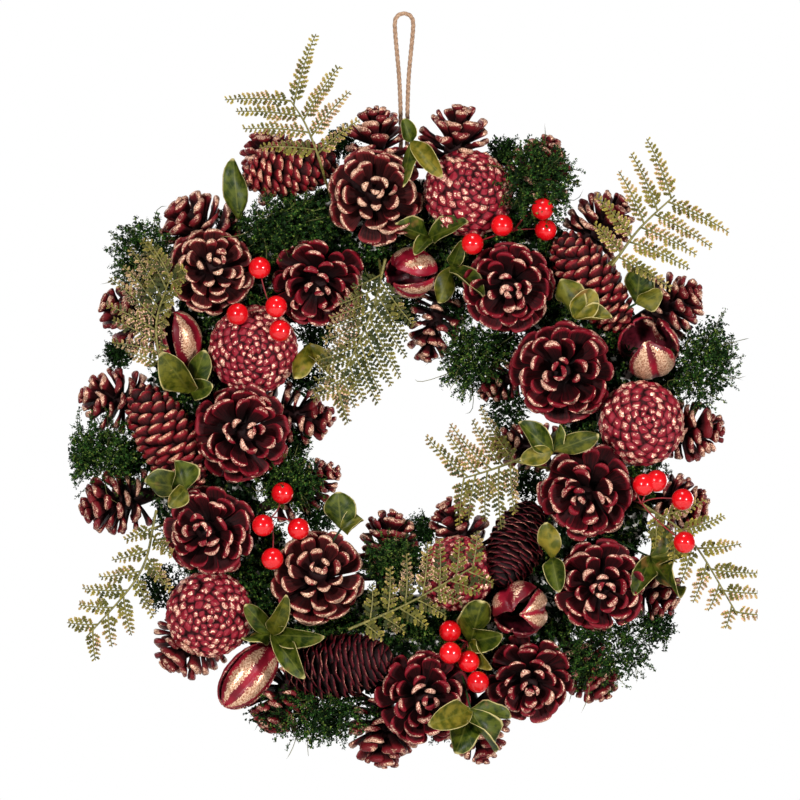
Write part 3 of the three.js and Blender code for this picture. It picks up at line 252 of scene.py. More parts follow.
class Pile:
    """Points, faces and point values of one piece, gathered from many small bodies."""

    def __init__(self):
        self.points, self.corners, self.sizes, self.kinds = [], [], [], []
        self.values = {name: [] for name in VALUES}
        self.count = 0

    def add(self, points, faces, kind=0, **values):
        points = points.reshape(-1, 3)
        for rows in faces:
            self.corners.append((rows + self.count).ravel())
            self.sizes.append(np.full(len(rows), rows.shape[1]))
            self.kinds.append(np.full(len(rows), kind))
        for name in VALUES:
            value = np.ravel(values.get(name, 0.0))
            self.values[name].append(np.full(len(points), value[0]) if len(value) == 1 else value)
        self.points.append(points)
        self.count += len(points)

    def piece(self, name, materials, slot, *nodes):
        points = np.concatenate(self.points) - (0, 0, DROP)
        low, high = np.array(CAD_LOW) + KEEP_INSIDE, np.array(CAD_HIGH) - KEEP_INSIDE
        points = np.clip(points, low, high)
        sizes = np.concatenate(self.sizes)
        mesh = bpy.data.meshes.new(name)
        mesh.vertices.add(len(points))
        mesh.vertices.foreach_set("co", points.astype(np.float32).ravel())
        corners = np.concatenate(self.corners).astype(np.int32)
        mesh.loops.add(len(corners))
        mesh.loops.foreach_set("vertex_index", corners)
        mesh.polygons.add(len(sizes))
        mesh.polygons.foreach_set("loop_start", (np.cumsum(sizes) - sizes).astype(np.int32))
        mesh.polygons.foreach_set("use_smooth", np.ones(len(sizes), bool))
        mesh.polygons.foreach_set("material_index", np.concatenate(self.kinds).astype(np.int32))
        for key in VALUES:
            values = np.concatenate(self.values[key]).astype(np.float32)
            mesh.attributes.new(key, "FLOAT", "POINT").data.foreach_set("value", values)
        for material in materials:
            mesh.materials.append(material)
        mesh.update(calc_edges=True)
        made = bpy.data.objects.new(name, mesh)
        bpy.context.scene.collection.objects.link(made)
        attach(made, "root")
        if nodes:
            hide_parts(*nodes)
        return made


def lofts(pile, rings, kind=0, **values):
    """Closed bodies from rings, as (body, ring, corner, xyz), with a point in the middle of each end."""
    bodies, count, corners, _ = rings.shape
    ids = np.arange(bodies * count * corners).reshape(bodies, count, corners)
    after = np.roll(ids, -1, axis=2)
    sides = np.stack([ids[:, :-1], after[:, :-1], after[:, 1:], ids[:, 1:]], -1).reshape(-1, 4)
    foot = np.repeat((ids.size + np.arange(bodies))[:, None], corners, 1)
    head = foot + bodies
    ends = np.stack(
        [
            np.stack([after[:, 0], ids[:, 0], foot], -1),
            np.stack([ids[:, -1], after[:, -1], head], -1),
        ]
    ).reshape(-1, 3)
    points = np.concatenate([rings.reshape(-1, 3), rings[:, 0].mean(1), rings[:, -1].mean(1)])
    full = {}
    for name, value in values.items():
        value = np.broadcast_to(value, rings.shape[:3])
        full[name] = np.concatenate([value.ravel(), value[:, 0].mean(1), value[:, -1].mean(1)])
    pile.add(points, [sides, ends], kind, **full)


def tubes(pile, paths, radii, sides=6, kind=0, **values):
    """Round tubes along paths, as (tube, point, xyz), with radii as (tube, point) or one number."""
    forward = unit(np.gradient(paths, axis=1))
    side = unit(np.cross(forward, unit(np.array([0.31, 0.87, 0.39]))))
    other = np.cross(forward, side)
    angle = 2 * np.pi * np.arange(sides) / sides
    radii = np.broadcast_to(radii, paths.shape[:2])[:, :, None, None]
    round_it = side[:, :, None] * np.cos(angle)[:, None] + other[:, :, None] * -np.sin(angle)[:, None]
    rings = paths[:, :, None] + radii * round_it
    full = {"along": np.linspace(0, 1, paths.shape[1])[None, :, None]}
    for name, value in values.items():
        full[name] = value[:, None, None] if np.ndim(value) == 1 else value
    lofts(pile, rings[:, :, ::-1], kind, **full)


def stem(pile, start, end, radius, tone):
    """A straight stem or wire between two points."""
    tubes(pile, np.linspace(start, end, 5)[None], radius, kind=1, tone=tone)


def blades(
    pile, root, bend, end, side, width, thick, cup, form, corners, flat=1.0, twist=0.0, wave=0.0, **values
):
    """Many scales or leaves. Each grows from root to end, drawn towards bend, and is width to each side.
    The rows of form are its share of the length, of the width and of the thickness, and the copper it takes.
    wave: how far the margins go up and down, as a share of the width."""
    u, wide, deep, rubbed = np.asarray(form, float).T
    weights = np.stack([(1 - u) ** 2, 2 * u * (1 - u), u**2])
    centre = np.einsum("kr,knx->nrx", weights, np.stack([root, bend, end]))
    share = u[None, :, None]
    forward = unit((1 - share) * (bend - root)[:, None] + share * (end - bend)[:, None])
    normal = unit(np.cross(forward, side[:, None]))
    lateral = np.cross(normal, forward)
    turn = twist * (share - 0.2)
    cosine, sine = np.cos(turn), np.sin(turn)
    lateral, normal = lateral * cosine + normal * sine, normal * cosine - lateral * sine
    angle = 2 * np.pi * np.arange(corners) / corners
    across, through = np.cos(angle), np.sin(angle)
    across = np.sign(across) * np.abs(across) ** flat
    half = width[:, None] * wide
    hollow = (cup[:, None] * half)[:, :, None] * across**2
    lift = (thick[:, None] * deep / 2)[:, :, None] * through + hollow
    if wave:
        ripple = np.sin(9 * u[:, None] + 2.6 * across) * across**2
        lift = lift + wave * half[:, :, None] * ripple
    rings = (
        centre[:, :, None]
        + lateral[:, :, None] * (half[:, :, None] * across)[..., None]
        + normal[:, :, None] * lift[..., None]
    )
    edge = np.abs(across) ** 3
    rub = np.clip(rubbed[:, None] ** 2 + edge * np.sqrt(rubbed[:, None]) * 0.8, 0, 1)
    values = {name: value[:, None, None] for name, value in values.items()}
    lofts(pile, rings, rub=rub, along=u[:, None], across=across, **values)


# Lumps: the egg-shaped rooms that the cones and pods fill, seated on the foam as in the part
class Lump:
    """An egg-shaped room: its middle, its axis, and its half widths across (a) and along (c) the axis."""

    def __init__(self, middle, axis, a, c):
        self.middle, self.axis = np.array(middle, float), unit(np.array(axis, float))
        self.a, self.c = a, c
        self.turn = np.array(Vector((0, 0, 1)).rotation_difference(Vector(self.axis)).to_matrix())
        self.shrink = np.diag([1 / a, 1 / a, 1 / c]) @ self.turn.T
        toward = np.array([0.0, -1.0, 0.0])
        flat = toward - self.axis * toward.dot(self.axis)
        self.x = unit(flat if np.linalg.norm(flat) > 1e-3 else self.turn[:, 0])
        self.y = np.cross(self.axis, self.x)

    def surface(self):
        k = np.arange(SAMPLES)
        height = 1 - 2 * (k + 0.5) / SAMPLES
        out = self.a * np.sqrt(1 - height**2)
        around = k * GOLDEN_ANGLE
        local = np.stack([out * np.cos(around), out * np.sin(around), self.c * height], -1)
        return local @ self.turn.T + self.middle

    def reach(self, way):
        """How far it goes from its middle along way."""
        along = np.dot(way, self.axis)
        return math.hypot(self.a * math.sqrt(max(0, 1 - along * along)), self.c * along)

    def place(self, local):
        """Points in the lump's own frame, whose x faces the viewer and whose z is its axis."""
        return self.middle + local @ np.stack([self.x, self.y, self.axis])

    def turned(self, local):
        """Directions in the same frame."""
        return local @ np.stack([self.x, self.y, self.axis])


def heading_axis(heading, rise):
    turn, lift = math.radians(heading), math.radians(rise)
    return math.cos(lift) * math.cos(turn), -math.sin(lift), math.cos(lift) * math.sin(turn)


def leaning_axis(lean, to):
    side, turn = math.sin(math.radians(lean)), math.radians(to)
    return side * math.cos(turn), -math.cos(math.radians(lean)), side * math.sin(turn)


def depth_in_ring(points):
    """How far points lie inside the foam's half-oval section, less than 0 outside it."""
    across = (np.hypot(points[:, 0], points[:, 2]) - RING_RADIUS) / RING_HALF
    forward = np.maximum((RING_BACK - points[:, 1]) / RING_THICK, 0)
    return (1 - np.hypot(across, forward)) * RING_HALF


def seat(lump, inward, sink):
    """Push a room inward until it reaches sink into the foam."""
    start = lump.middle - np.array(inward) * FAR
    low, high = 0, 2 * FAR
    for _ in range(24):
        travel = (low + high) / 2
        lump.middle = start + np.array(inward) * travel
        if depth_in_ring(lump.surface()).max() < sink:
            low = travel
        else:
            high = travel
    return lump


def front_lump(x, z, a, c, axis, sink=SINK):
    lump = seat(Lump((x, 0, z), axis, a, c), (0, 1, 0), sink)
    lump.middle[1] = min(lump.middle[1], DEEPEST_FRONT)
    return lump


def rim_lump(spec, side):
    at, a, c = spec[:3]
    behind = spec[3] if len(spec) > 3 else RIM_BACK_SPACE
    out = np.array([math.cos(math.radians(at)), 0, math.sin(math.radians(at))])
    axis = out * side - np.array([0, math.tan(math.radians(RIM_LEAN)), 0])
    lump = Lump(out * (RING_RADIUS + side * RING_HALF), axis, a, c)
    lump.middle[1] = RING_BACK - behind - lump.reach(np.array([0, 1, 0]))
    return seat(lump, -out * side, SINK)


def ring_front(radius):
    """The depth of the foam's front at this distance from the ring's middle."""
    across = (radius - RING_RADIUS) / RING_HALF
    return RING_BACK - RING_THICK * math.sqrt(1 - across * across) if abs(across) < 1 else RING_BACK


def front_at(x, z, among):
    """The point nearest the viewer that the lumps, or the ring, reach at x and z."""
    shrink = np.stack([lump.shrink for lump in among])
    start = np.array([x, 0, z]) - np.stack([lump.middle for lump in among])
    start = np.einsum("kij,kj->ki", shrink, start)
    along = shrink[:, :, 1]
    qa, qb, qc = (along**2).sum(1), (along * start).sum(1), (start**2).sum(1) - 1
    inside = qb * qb - qa * qc
    met = inside > 0
    front = ring_front(math.hypot(x, z))
    if met.any():
        front = min(front, ((-qb[met] - np.sqrt(inside[met])) / qa[met]).min())
    return front


def front_over(x, z, radius, among):
    """The point nearest the viewer within radius of x and z."""
    around = [math.pi * i / 4 for i in range(8)]
    edge = [front_at(x + radius * math.cos(t), z + radius * math.sin(t), among) for t in around]
    return min([front_at(x, z, among), *edge])


open_lumps = [front_lump(x, z, a, c, leaning_axis(lean, to)) for x, z, a, c, lean, to in OPEN_CONES]
base_lumps = [front_lump(x, z, a, c, leaning_axis(lean, to)) for x, z, a, c, lean, to in BASE_CONES]
long_lumps = [front_lump(x, z, a, c, heading_axis(h, rise)) for x, z, a, c, h, rise in LONG_CONES]
pod_lumps = [front_lump(x, z, a, c, heading_axis(h, rise), POD_SINK) for x, z, a, c, h, rise in PODS]
outer_lumps = [[rim_lump(spec, 1) for spec in string] for string in OUTER_STRINGS]
inner_lumps = [[rim_lump(spec, -1) for spec in string] for string in INNER_STRINGS]
cone_lumps = open_lumps + pod_lumps + long_lumps + base_lumps + sum(outer_lumps + inner_lumps, [])
spray_lumps = []
for x, y, z, a, c, heading, _ in GREEN_SPRAYS:
    depth = min(y, front_over(x, z, 0.003, cone_lumps) + PROUD)
    spray_lumps.append(Lump((x, depth, z), heading_axis(heading, 0), a, c))
all_lumps = cone_lumps + spray_lumps


# Cones of separate woody scales on a core, in a golden-angle spiral. A form's rows are the share of the
# scale's length, of its half width and of its thickness, and how much copper it takes.
SPOON = [
    (0.00, 0.30, 0.70, 0.0), (0.25, 0.40, 0.70, 0.0), (0.50, 0.62, 0.75, 0.0), (0.70, 0.86, 0.80, 0.0),
    (0.84, 1.00, 0.95, 0.10), (0.92, 0.97, 1.35, 0.40), (0.975, 0.80, 1.45, 0.85), (1.0, 0.50, 0.90, 1.0),
]
KNOB_FINGER = [
    (0.00, 0.55, 0.80, 0.0), (0.30, 0.62, 0.80, 0.0), (0.60, 0.76, 0.90, 0.0), (0.78, 0.95, 1.20, 0.25),
    (0.90, 1.05, 1.75, 0.8), (0.97, 0.86, 1.70, 1.0), (1.0, 0.45, 1.00, 1.0),
]
FINGER = [
    (0.0, 0.45, 0.70, 0.0), (0.35, 0.55, 0.70, 0.0), (0.66, 0.78, 0.85, 0.05),
    (0.84, 1.00, 1.30, 0.60), (0.95, 0.86, 1.40, 1.0), (1.0, 0.45, 0.90, 0.9),
]
DISC = [
    (0.0, 0.55, 0.80, 0.0), (0.45, 0.95, 0.90, 0.0), (0.78, 1.00, 1.00, 0.0),
    (0.93, 0.66, 1.00, 0.55), (1.0, 0.24, 0.60, 1.0),
]
# polar: angles off the tip of the scales' ends, from the innermost scale to the outermost.
# lean: angle of a scale off the axis at the tip, and how it grows with the polar angle.
OPEN_KIND = {
    "form": SPOON, "inner_form": KNOB_FINGER, "inner": 9, "corners": 12, "count": 46,
    "spread": (0, 0.06, 0.15, 0.32, 0.55, 0.78, 1), "polar": (3, 13, 29, 45, 64, 88, 116),
    "lean": (10, 0.80), "sizes": ((3, 25, 45, 70, 100), (0.095, 0.12, 0.185, 0.225, 0.255)),
    "thick": 0.0016, "cup": 0.34, "bend": 0.10, "ragged": 0.18, "core": 0.20,
}
RIM_KIND = {
    "form": FINGER, "inner_form": FINGER, "inner": 6, "corners": 8, "count": 46,
    "spread": (0, 0.14, 0.24, 0.45, 0.7, 1), "polar": (5, 22, 38, 58, 86, 124),
    "lean": (14, 0.74), "sizes": ((8, 30, 90), (0.14, 0.21, 0.27)),
    "thick": 0.0022, "cup": 0.30, "bend": 0.08, "ragged": 0.17, "core": 0.26,
}
STOUT = [
    (0.0, 0.70, 0.80, 0.0), (0.35, 0.92, 1.00, 0.0), (0.60, 1.00, 1.20, 0.05), (0.76, 0.86, 1.35, 0.45),
    (0.88, 0.58, 1.20, 0.85), (0.96, 0.30, 0.85, 1.0), (1.0, 0.10, 0.45, 1.0),
]
# first and last: angles off the tip of the outermost and the innermost scale. rise: how far a scale stands
# off the body. length: in half widths of the cone.
STOUT_KIND = {
    "form": STOUT, "corners": 10, "count": 104, "first": 168, "last": 7, "rise": 46, "length": 0.56,
    "widest": 0.335, "thick": 0.0022, "cup": 0.38, "ragged": 0.05, "core": 0.66,
}
THIN_KIND = {
    "form": DISC, "corners": 8, "count": 150, "first": 166, "last": 8, "rise": 54, "length": 0.62,
    "widest": 0.46, "thick": 0.00045, "cup": 0.42, "ragged": 0.05, "core": 0.60,
}
FIRST_THIN = 3  # the long cones from this one on are thin-scaled and wine red
CORE_RINGS, CORE_CORNERS = 9, 12
CORE_ALONG = 0.42  # the core takes the painted shade that its scales have this far along them
COPPERY = (0, 2, 9)  # the open cones with the most copper
UP = np.array([0.0, 0.0, 1.0])  # a lump's axis in its own frame


def core(pile, lump, wide, low, high, tone):
    """The spindle that the scales grow on, dark with painted shade."""
    share = np.linspace(low, high, CORE_RINGS)
    radius = wide * lump.a * np.sqrt(np.maximum(1 - share**2, 0.02))
    angle = 2 * np.pi * np.arange(CORE_CORNERS) / CORE_CORNERS
    radius, height = radius[:, None], (share * lump.c)[:, None] * np.ones(CORE_CORNERS)
    local = np.stack([radius * np.cos(angle), radius * np.sin(angle), height], -1)
    lofts(pile, lump.place(local)[None], along=CORE_ALONG, tone=tone)


def around_axis(around):
    """Unit vectors out from the axis and round it."""
    cosine, sine, none = np.cos(around), np.sin(around), np.zeros(len(around))
    return np.stack([cosine, sine, none], -1), np.stack([-sine, cosine, none], -1)


def open_cone(pile, lump, kind, seed):
    """A cone with its scales spread wide, each a spoon with a thick lip."""
    rng = np.random.default_rng(seed)
    count, ragged = kind["count"], kind["ragged"]
    t = np.arange(count) / (count - 1)
    polar = np.radians(np.interp(t, kind["spread"], kind["polar"])) + rng.normal(0, ragged * 0.35, count)
    out, sideways = around_axis(np.arange(count) * GOLDEN_ANGLE + rng.normal(0, ragged * 0.6, count))
    grown = 1 - np.abs(rng.normal(0, ragged * 0.4, count))
    far, high = lump.a * np.sin(polar) * grown, lump.c * np.cos(polar) * grown
    end = out * far[:, None] + UP * high[:, None]
    at_tip, growth = kind["lean"]
    lean = np.radians(at_tip + growth * np.degrees(polar)) + rng.normal(0, ragged * 0.5, count)
    foot = lump.a * (0.03 + 0.17 * t)
    least = np.where(t < 0.5, 0.4, -0.3) * lump.a
    drop = np.maximum((far - foot) / np.tan(np.clip(lean, 0.2, 1.9)), least)
    root = out * foot[:, None] + UP * (high - drop)[:, None]
    run = end - root
    length = np.linalg.norm(run, axis=1, keepdims=True)
    up = unit(np.cross(run, sideways))
    bend = (root + end) / 2 - up * length * kind["bend"]
    roll = rng.normal(0, ragged * 1.2, count)[:, None]
    side = unit(sideways * np.cos(roll) + up * np.sin(roll))
    width = lump.a * np.interp(np.degrees(polar), *kind["sizes"])
    width = width * (1 + rng.normal(0, ragged * 0.7, count))
    thick = kind["thick"] * (1 + rng.normal(0, 0.10, count))
    cup = kind["cup"] * (1 + rng.normal(0, ragged * 2, count))
    tone = rng.uniform(0, 1, count)
    root, bend, end, side = lump.place(root), lump.place(bend), lump.place(end), lump.turned(side)
    inner = kind["inner"]
    for form, part in ((kind["inner_form"], slice(0, inner)), (kind["form"], slice(inner, None))):
        blades(
            pile, root[part], bend[part], end[part], side[part], width[part], thick[part], cup[part],
            form, kind["corners"], flat=0.8, tone=tone[part],
        )
    core(pile, lump, kind["core"], -0.85, 0.55, 0.5)


def long_cone(pile, lump, kind, seed):
    """A closed cone, shingled with scales from the foot to the tip."""
    rng = np.random.default_rng(seed)
    count, ragged = kind["count"], kind["ragged"]
    first, last = math.cos(math.radians(kind["first"])), math.cos(math.radians(kind["last"]))
    polar = np.arccos(first + (last - first) * (np.arange(count) + 0.5) / count)
    polar = polar + rng.normal(0, ragged * 0.2, count)
    out, sideways = around_axis(np.arange(count) * GOLDEN_ANGLE + rng.normal(0, ragged * 0.5, count))
    sine, cosine = np.sin(polar)[:, None], np.cos(polar)[:, None]
    grown = 1 - np.abs(rng.normal(0, ragged * 0.35, count))[:, None]
    end = (out * lump.a * sine + UP * lump.c * cosine) * grown
    tangent = unit(UP * lump.c * sine - out * lump.a * cosine)
    normal = unit(out * sine / lump.a + UP * cosine / lump.c)
    rise = np.radians(kind["rise"] * (1 + rng.normal(0, ragged * 2, count)))[:, None]
    way = tangent * np.cos(rise) + normal * np.sin(rise)
    length = kind["length"] * lump.a * (0.42 + 0.58 * sine)
    root = end - way * length
    bend = (root + end) / 2 + np.cross(way, sideways) * -0.10 * length
    roll = rng.normal(0, ragged * 1.5, count)[:, None]
    side = unit(sideways * np.cos(roll) + np.cross(way, sideways) * np.sin(roll))
    width = kind["widest"] * lump.a * (0.40 + 0.60 * sine[:, 0]) * (1 + rng.normal(0, ragged, count))
    thick = np.full(count, kind["thick"])
    cup = kind["cup"] * (1 + rng.normal(0, ragged * 2, count))
    blades(
        pile, lump.place(root), lump.place(bend), lump.place(end), lump.turned(side), width, thick, cup,
        kind["form"], kind["corners"], flat=0.9, tone=rng.uniform(0, 1, count),
    )
    core(pile, lump, kind["core"], -0.97, 0.93, 0.5)


# The rhombic knobs at the ends of closed scales. The profile's rows are the share of the knob's size, its
# lift, how much of the ridge across it shows there, and how much copper it takes.
KNOB_PROFILE = [
    (0.84, -1.5, 0.0, 0.0), (1.0, 0.0, 0.0, 0.0), (0.93, 0.34, 0.1, 0.15),
    (0.58, 0.74, 0.45, 0.75), (0.20, 0.98, 0.25, 1.0), (0.07, 1.16, 0.0, 1.0),
]
KNOB_WIDE, KNOB_LONG, KNOB_POWER = 1.13, 0.92, 1.22
KNOB_PUSH = 0.10  # how far the top is moved outwards, as a share of the size
KNOB_LIT_SIDE = 0.25  # how much less copper the outer side takes; the copper is brushed paint, and keeping it to the inner side is a painted highlight there
KNOB_CORNERS = 8


def knobs(pile, lump, centre, tilt, sideways, size, high, rng):
    """Closed scales' ends at centre, standing along tilt, size wide and high tall."""
    down = unit(np.cross(sideways, tilt))
    across = np.cross(tilt, down)
    angle = 2 * np.pi * np.arange(KNOB_CORNERS) / KNOB_CORNERS
    cosine, sine = np.cos(angle), np.sin(angle)
    rhomb = (np.abs(cosine) ** KNOB_POWER + np.abs(sine) ** KNOB_POWER) ** (-1 / KNOB_POWER)
    share, lift, ridged, rubbed = np.array(KNOB_PROFILE).T
    flat = (
        across[:, None] * (cosine * rhomb)[None, :, None] * KNOB_WIDE
        + down[:, None] * (sine * rhomb)[None, :, None] * KNOB_LONG
    )
    height = lift[:, None] * (1 + ridged[:, None] * (cosine**2 - 0.5))
    pushed = np.clip(lift, 0, 1) * KNOB_PUSH
    rings = (
        centre[:, None, None]
        + flat[:, None] * (size[:, None] * share)[:, :, None, None]
        + down[:, None, None] * (size[:, None] * pushed)[:, :, None, None]
        + tilt[:, None, None] * (high[:, None, None] * height)[..., None]
    )
    rub = rubbed[:, None] * (1 - KNOB_LIT_SIDE * (0.5 + 0.5 * sine))
    # Painted shade: each knob darkens towards its foot, in the grooves between the knobs.
    along = np.clip(0.15 + 0.85 * lift, 0, 1)[:, None]
    tone = rng.uniform(0, 1, len(size))[:, None, None]
    lofts(pile, lump.place(rings), rub=rub, along=along, across=0.3, tone=tone)


# The base of a closed cone: a dome of knobs in spirals round a stem scar. For each cone the number of
# knobs, and how fast they grow outwards.
KNOB_SPIRALS = [(190, 1.30), (150, 1.36), (118, 1.42), (160, 1.34), (140, 1.38)]
DOME_EDGE = 1.95  # the angle off the axis where the dome ends, in radians


def knobbed_base(pile, lump, spiral, seed):
    rng = np.random.default_rng(seed)
    count, growth = spiral
    t = (np.arange(count) + 2.0) / (count + 2.0)
    spread = 1 - math.cos(DOME_EDGE)
    polar = np.arccos(1 - spread * t**growth)
    size = lump.a * np.sqrt(2 * np.pi * spread * growth * t ** (growth - 1) / count) * 0.70
    size = size * (1 + rng.normal(0, 0.07, count))
    out, sideways = around_axis(np.arange(count) * GOLDEN_ANGLE + rng.normal(0, 0.05, count))
    sine, cosine = np.sin(polar)[:, None], np.cos(polar)[:, None]
    normal = unit(out * sine / lump.a + UP * cosine / lump.c)
    high = size * (0.40 + 0.34 * t) * (1 + rng.normal(0, 0.15, count))
    centre = out * lump.a * sine + UP * lump.c * cosine - normal * high[:, None] * 1.1
    tilt = unit(normal - out * (0.30 * t[:, None]) + rng.normal(0, 0.07, (count, 3)))
    knobs(pile, lump, centre, tilt, sideways, size, high, rng)
    core(pile, lump, 0.84, -0.97, 0.88, 0.2)
    scar = np.array([[0, 0, 0.78], [0.02, 0, 0.93], [0.04, 0.02, 0.985]]) * lump.c
    tubes(pile, lump.place(scar)[None], np.array([[0.0028, 0.0026, 0.0016]]), 8, rub=0.8, tone=0.3)


# Seed pods: thick shells in valves, open at the tip. For each pod the heading and rise of the open tip, how
# much of its width a valve loses towards its end, how deep the groove down its middle is, and the valves:
# the middle and half of its turn round the pod, how many millimetres it is split off the next one at the
# tip, the angle off the tip where it ends, and its gold.
POD_SKIN, POD_SHELL = 0.0006, 0.0015  # the shell's outer side under the room's surface, and its thickness
POD_FOOT = 178  # the angle off the tip where the valves begin
POD_ROWS, POD_COLUMNS = 24, 19
POD_SHAPES = [
    (105, 25, 0.5, 0.07, [(63, 79, 1.5, 6, 1.15), (-112, 86, 1.5, 8, 0.8)]),
    (195, 35, 0.6, 0.07, [(50, 72, 1.6, 30, 0.95), (-76, 50, 1.8, 14, 1.15), (176, 52, 1.0, 16, 0.3)]),
    (110, 58, 0.60, 0.11, [(-6, 54, 1.3, 22, 1.5), (200, 56, 2.0, 42, 0.3), (104, 45, 2.0, 46, 0.7)]),
    (215, 76, 0.6, 0.16, [(89, 71, 0.5, 9, 0.75), (-33, 49, 0.6, 9, 1.4), (219, 58, 1.2, 46, 0.45)]),
    (230, 10, 0.5, 0.10, [(-8, 64, 0.7, 6, 1.1), (174, 108, 1.3, 9, 0.5)]),
]


def seed_pod(pile, lump, shape, seed):
    rng = np.random.default_rng(seed)
    heading, rise, taper, notch, valves = shape
    pod = Lump(lump.middle, heading_axis(heading, rise), lump.a, lump.c)
    s = np.linspace(0.0, 1.0, POD_ROWS)
    v = np.linspace(-1, 1, POD_COLUMNS)
    for middle, spread, gap, end, gold in valves:
        spread = math.radians(spread)
        polar = np.radians(POD_FOOT - (POD_FOOT - end) * s)
        split = gap * MM * smooth(0.10, 1.0, s) + 0.0002
        half = spread - split / (pod.a * np.sin(polar))
        half = half * (1 - taper * np.clip((s - 0.68) / 0.32, 0, 1) ** 2.2)
        around = math.radians(middle) + np.maximum(half, 0.03)[:, None] * v
        groove = notch * np.exp(-((v / 0.17) ** 2)) * smooth(0.05, 0.6, s)[:, None]
        lobes = 0.02 * np.cos(2 * np.pi * v) * np.sin(np.pi * s)[:, None]
        dip = 0.5 * groove * smooth(0.7, 1.0, s)[:, None]
        crinkle = rng.normal(0, 0.010, (POD_ROWS, POD_COLUMNS))

        def sheet(inset):
            radius = (pod.a - inset) * np.sin(polar)[:, None] * (1 - lobes - groove + crinkle)
            height = (pod.c - inset) * (np.cos(polar)[:, None] - dip)
            return np.stack([radius * np.cos(around), radius * np.sin(around), height], -1)

        sheets = [sheet(inset).reshape(-1, 3) for inset in (POD_SKIN, POD_SKIN + POD_SHELL)]
        ids = np.arange(POD_ROWS * POD_COLUMNS).reshape(POD_ROWS, POD_COLUMNS)
        face = np.stack([ids[:-1, :-1], ids[:-1, 1:], ids[1:, 1:], ids[1:, :-1]], -1).reshape(-1, 4)
        border = np.concatenate([ids[0, :-1], ids[:-1, -1], ids[-1, :0:-1], ids[:0:-1, 0]])
        follow = np.roll(border, -1)
        wall = np.stack([border, border + ids.size, follow + ids.size, follow], -1)
        stripe = np.exp(-(((np.abs(v) - 0.47) / 0.34) ** 2)) * np.sin(np.pi * s**1.2)[:, None] ** 0.5
        edge = np.maximum(np.abs(v), s[:, None]) ** 12
        rub = np.concatenate([np.maximum(gold * stripe, 0.55 * edge).ravel(), (0.5 * edge).ravel()])
        pile.add(
            pod.place(np.concatenate(sheets)), [face, face[:, ::-1] + ids.size, wall], rub=rub,
            along=np.repeat([1.0, 0.0], ids.size), across=np.tile(v, 2 * POD_ROWS), tone=rng.uniform(0, 1),
        )


# Fronds and leaves
STEEPEST = 0.9  # how fast a leaf may come forward along its length
LEAF_ROOM = 0.0016  # what a leaf keeps off the cones under it
STEM_NEAR, STEM_FAR = 0.004, 0.015  # how far off the foam's middle line stems enter it
STEM_SUNK = 0.002


def clear_tip(base, x, z, wanted, half_width):
    """The depth of a leaf's tip at x and z: wanted, or further forward where the cones need it."""
    y = wanted
    for i in range(2, 7):
        s = i / 6
        room = front_over(base[0] + (x - base[0]) * s, base[2] + (z - base[2]) * s, half_width, all_lumps)
        y = min(y, base[1] + (room - LEAF_ROOM - base[1]) / s)
    return max(y, base[1] - STEEPEST * math.hypot(x - base[0], z - base[2]))


def foam_point(x, z):
    """Where the stem of a piece at x and z ends, just inside the foam."""
    flat = math.hypot(x, z)
    off = min(max(flat - RING_RADIUS, -STEM_FAR), STEM_FAR)
    radius = RING_RADIUS + (min(off, -STEM_NEAR) if off < 0 else max(off, STEM_NEAR))
    return np.array([x * radius / flat, ring_front(radius) + STEM_SUNK, z * radius / flat])


LOBE_STEP, LOBE_LENGTH = 0.0027, 0.0056
RACHIS_RADIUS, RACHIS_POINTS = 0.0008, 40
RACHIS_WIDTH, RACHIS_ROOM = 0.0035, 0.0025  # the strip that a stem runs before, and its room to the cones
RACHIS_ROOT = 5  # the point of the stem where its foot leaves for the foam
FIRST_LEAFLET = 0.08  # as a share of the stem
# Along a lobe: where a pair of teeth starts, and its length as a share of the lobe's.
TEETH = [(0.16, 0.34), (0.42, 0.38), (0.68, 0.32)]


def diamonds(pile, base, tip, side, fold, kind=0, **values):
    """Tiny folded leaves from base to tip, side to each side and lifted by fold at their edges."""
    middle = base * 0.45 + tip * 0.55
    corners = np.stack([base, middle + side + fold, tip, middle - side + fold], 1)
    many = len(base)
    ids = np.arange(many)[:, None] * 4
    faces = np.concatenate([ids + np.array(face) for face in ([0, 1, 2], [0, 2, 3])])
    values = {name: np.repeat(value, 4) for name, value in values.items()}
    along = np.tile([0.0, 0.6, 1.0, 0.6], many)
    pile.add(corners.reshape(-1, 3), [faces], kind, along=along, **values)


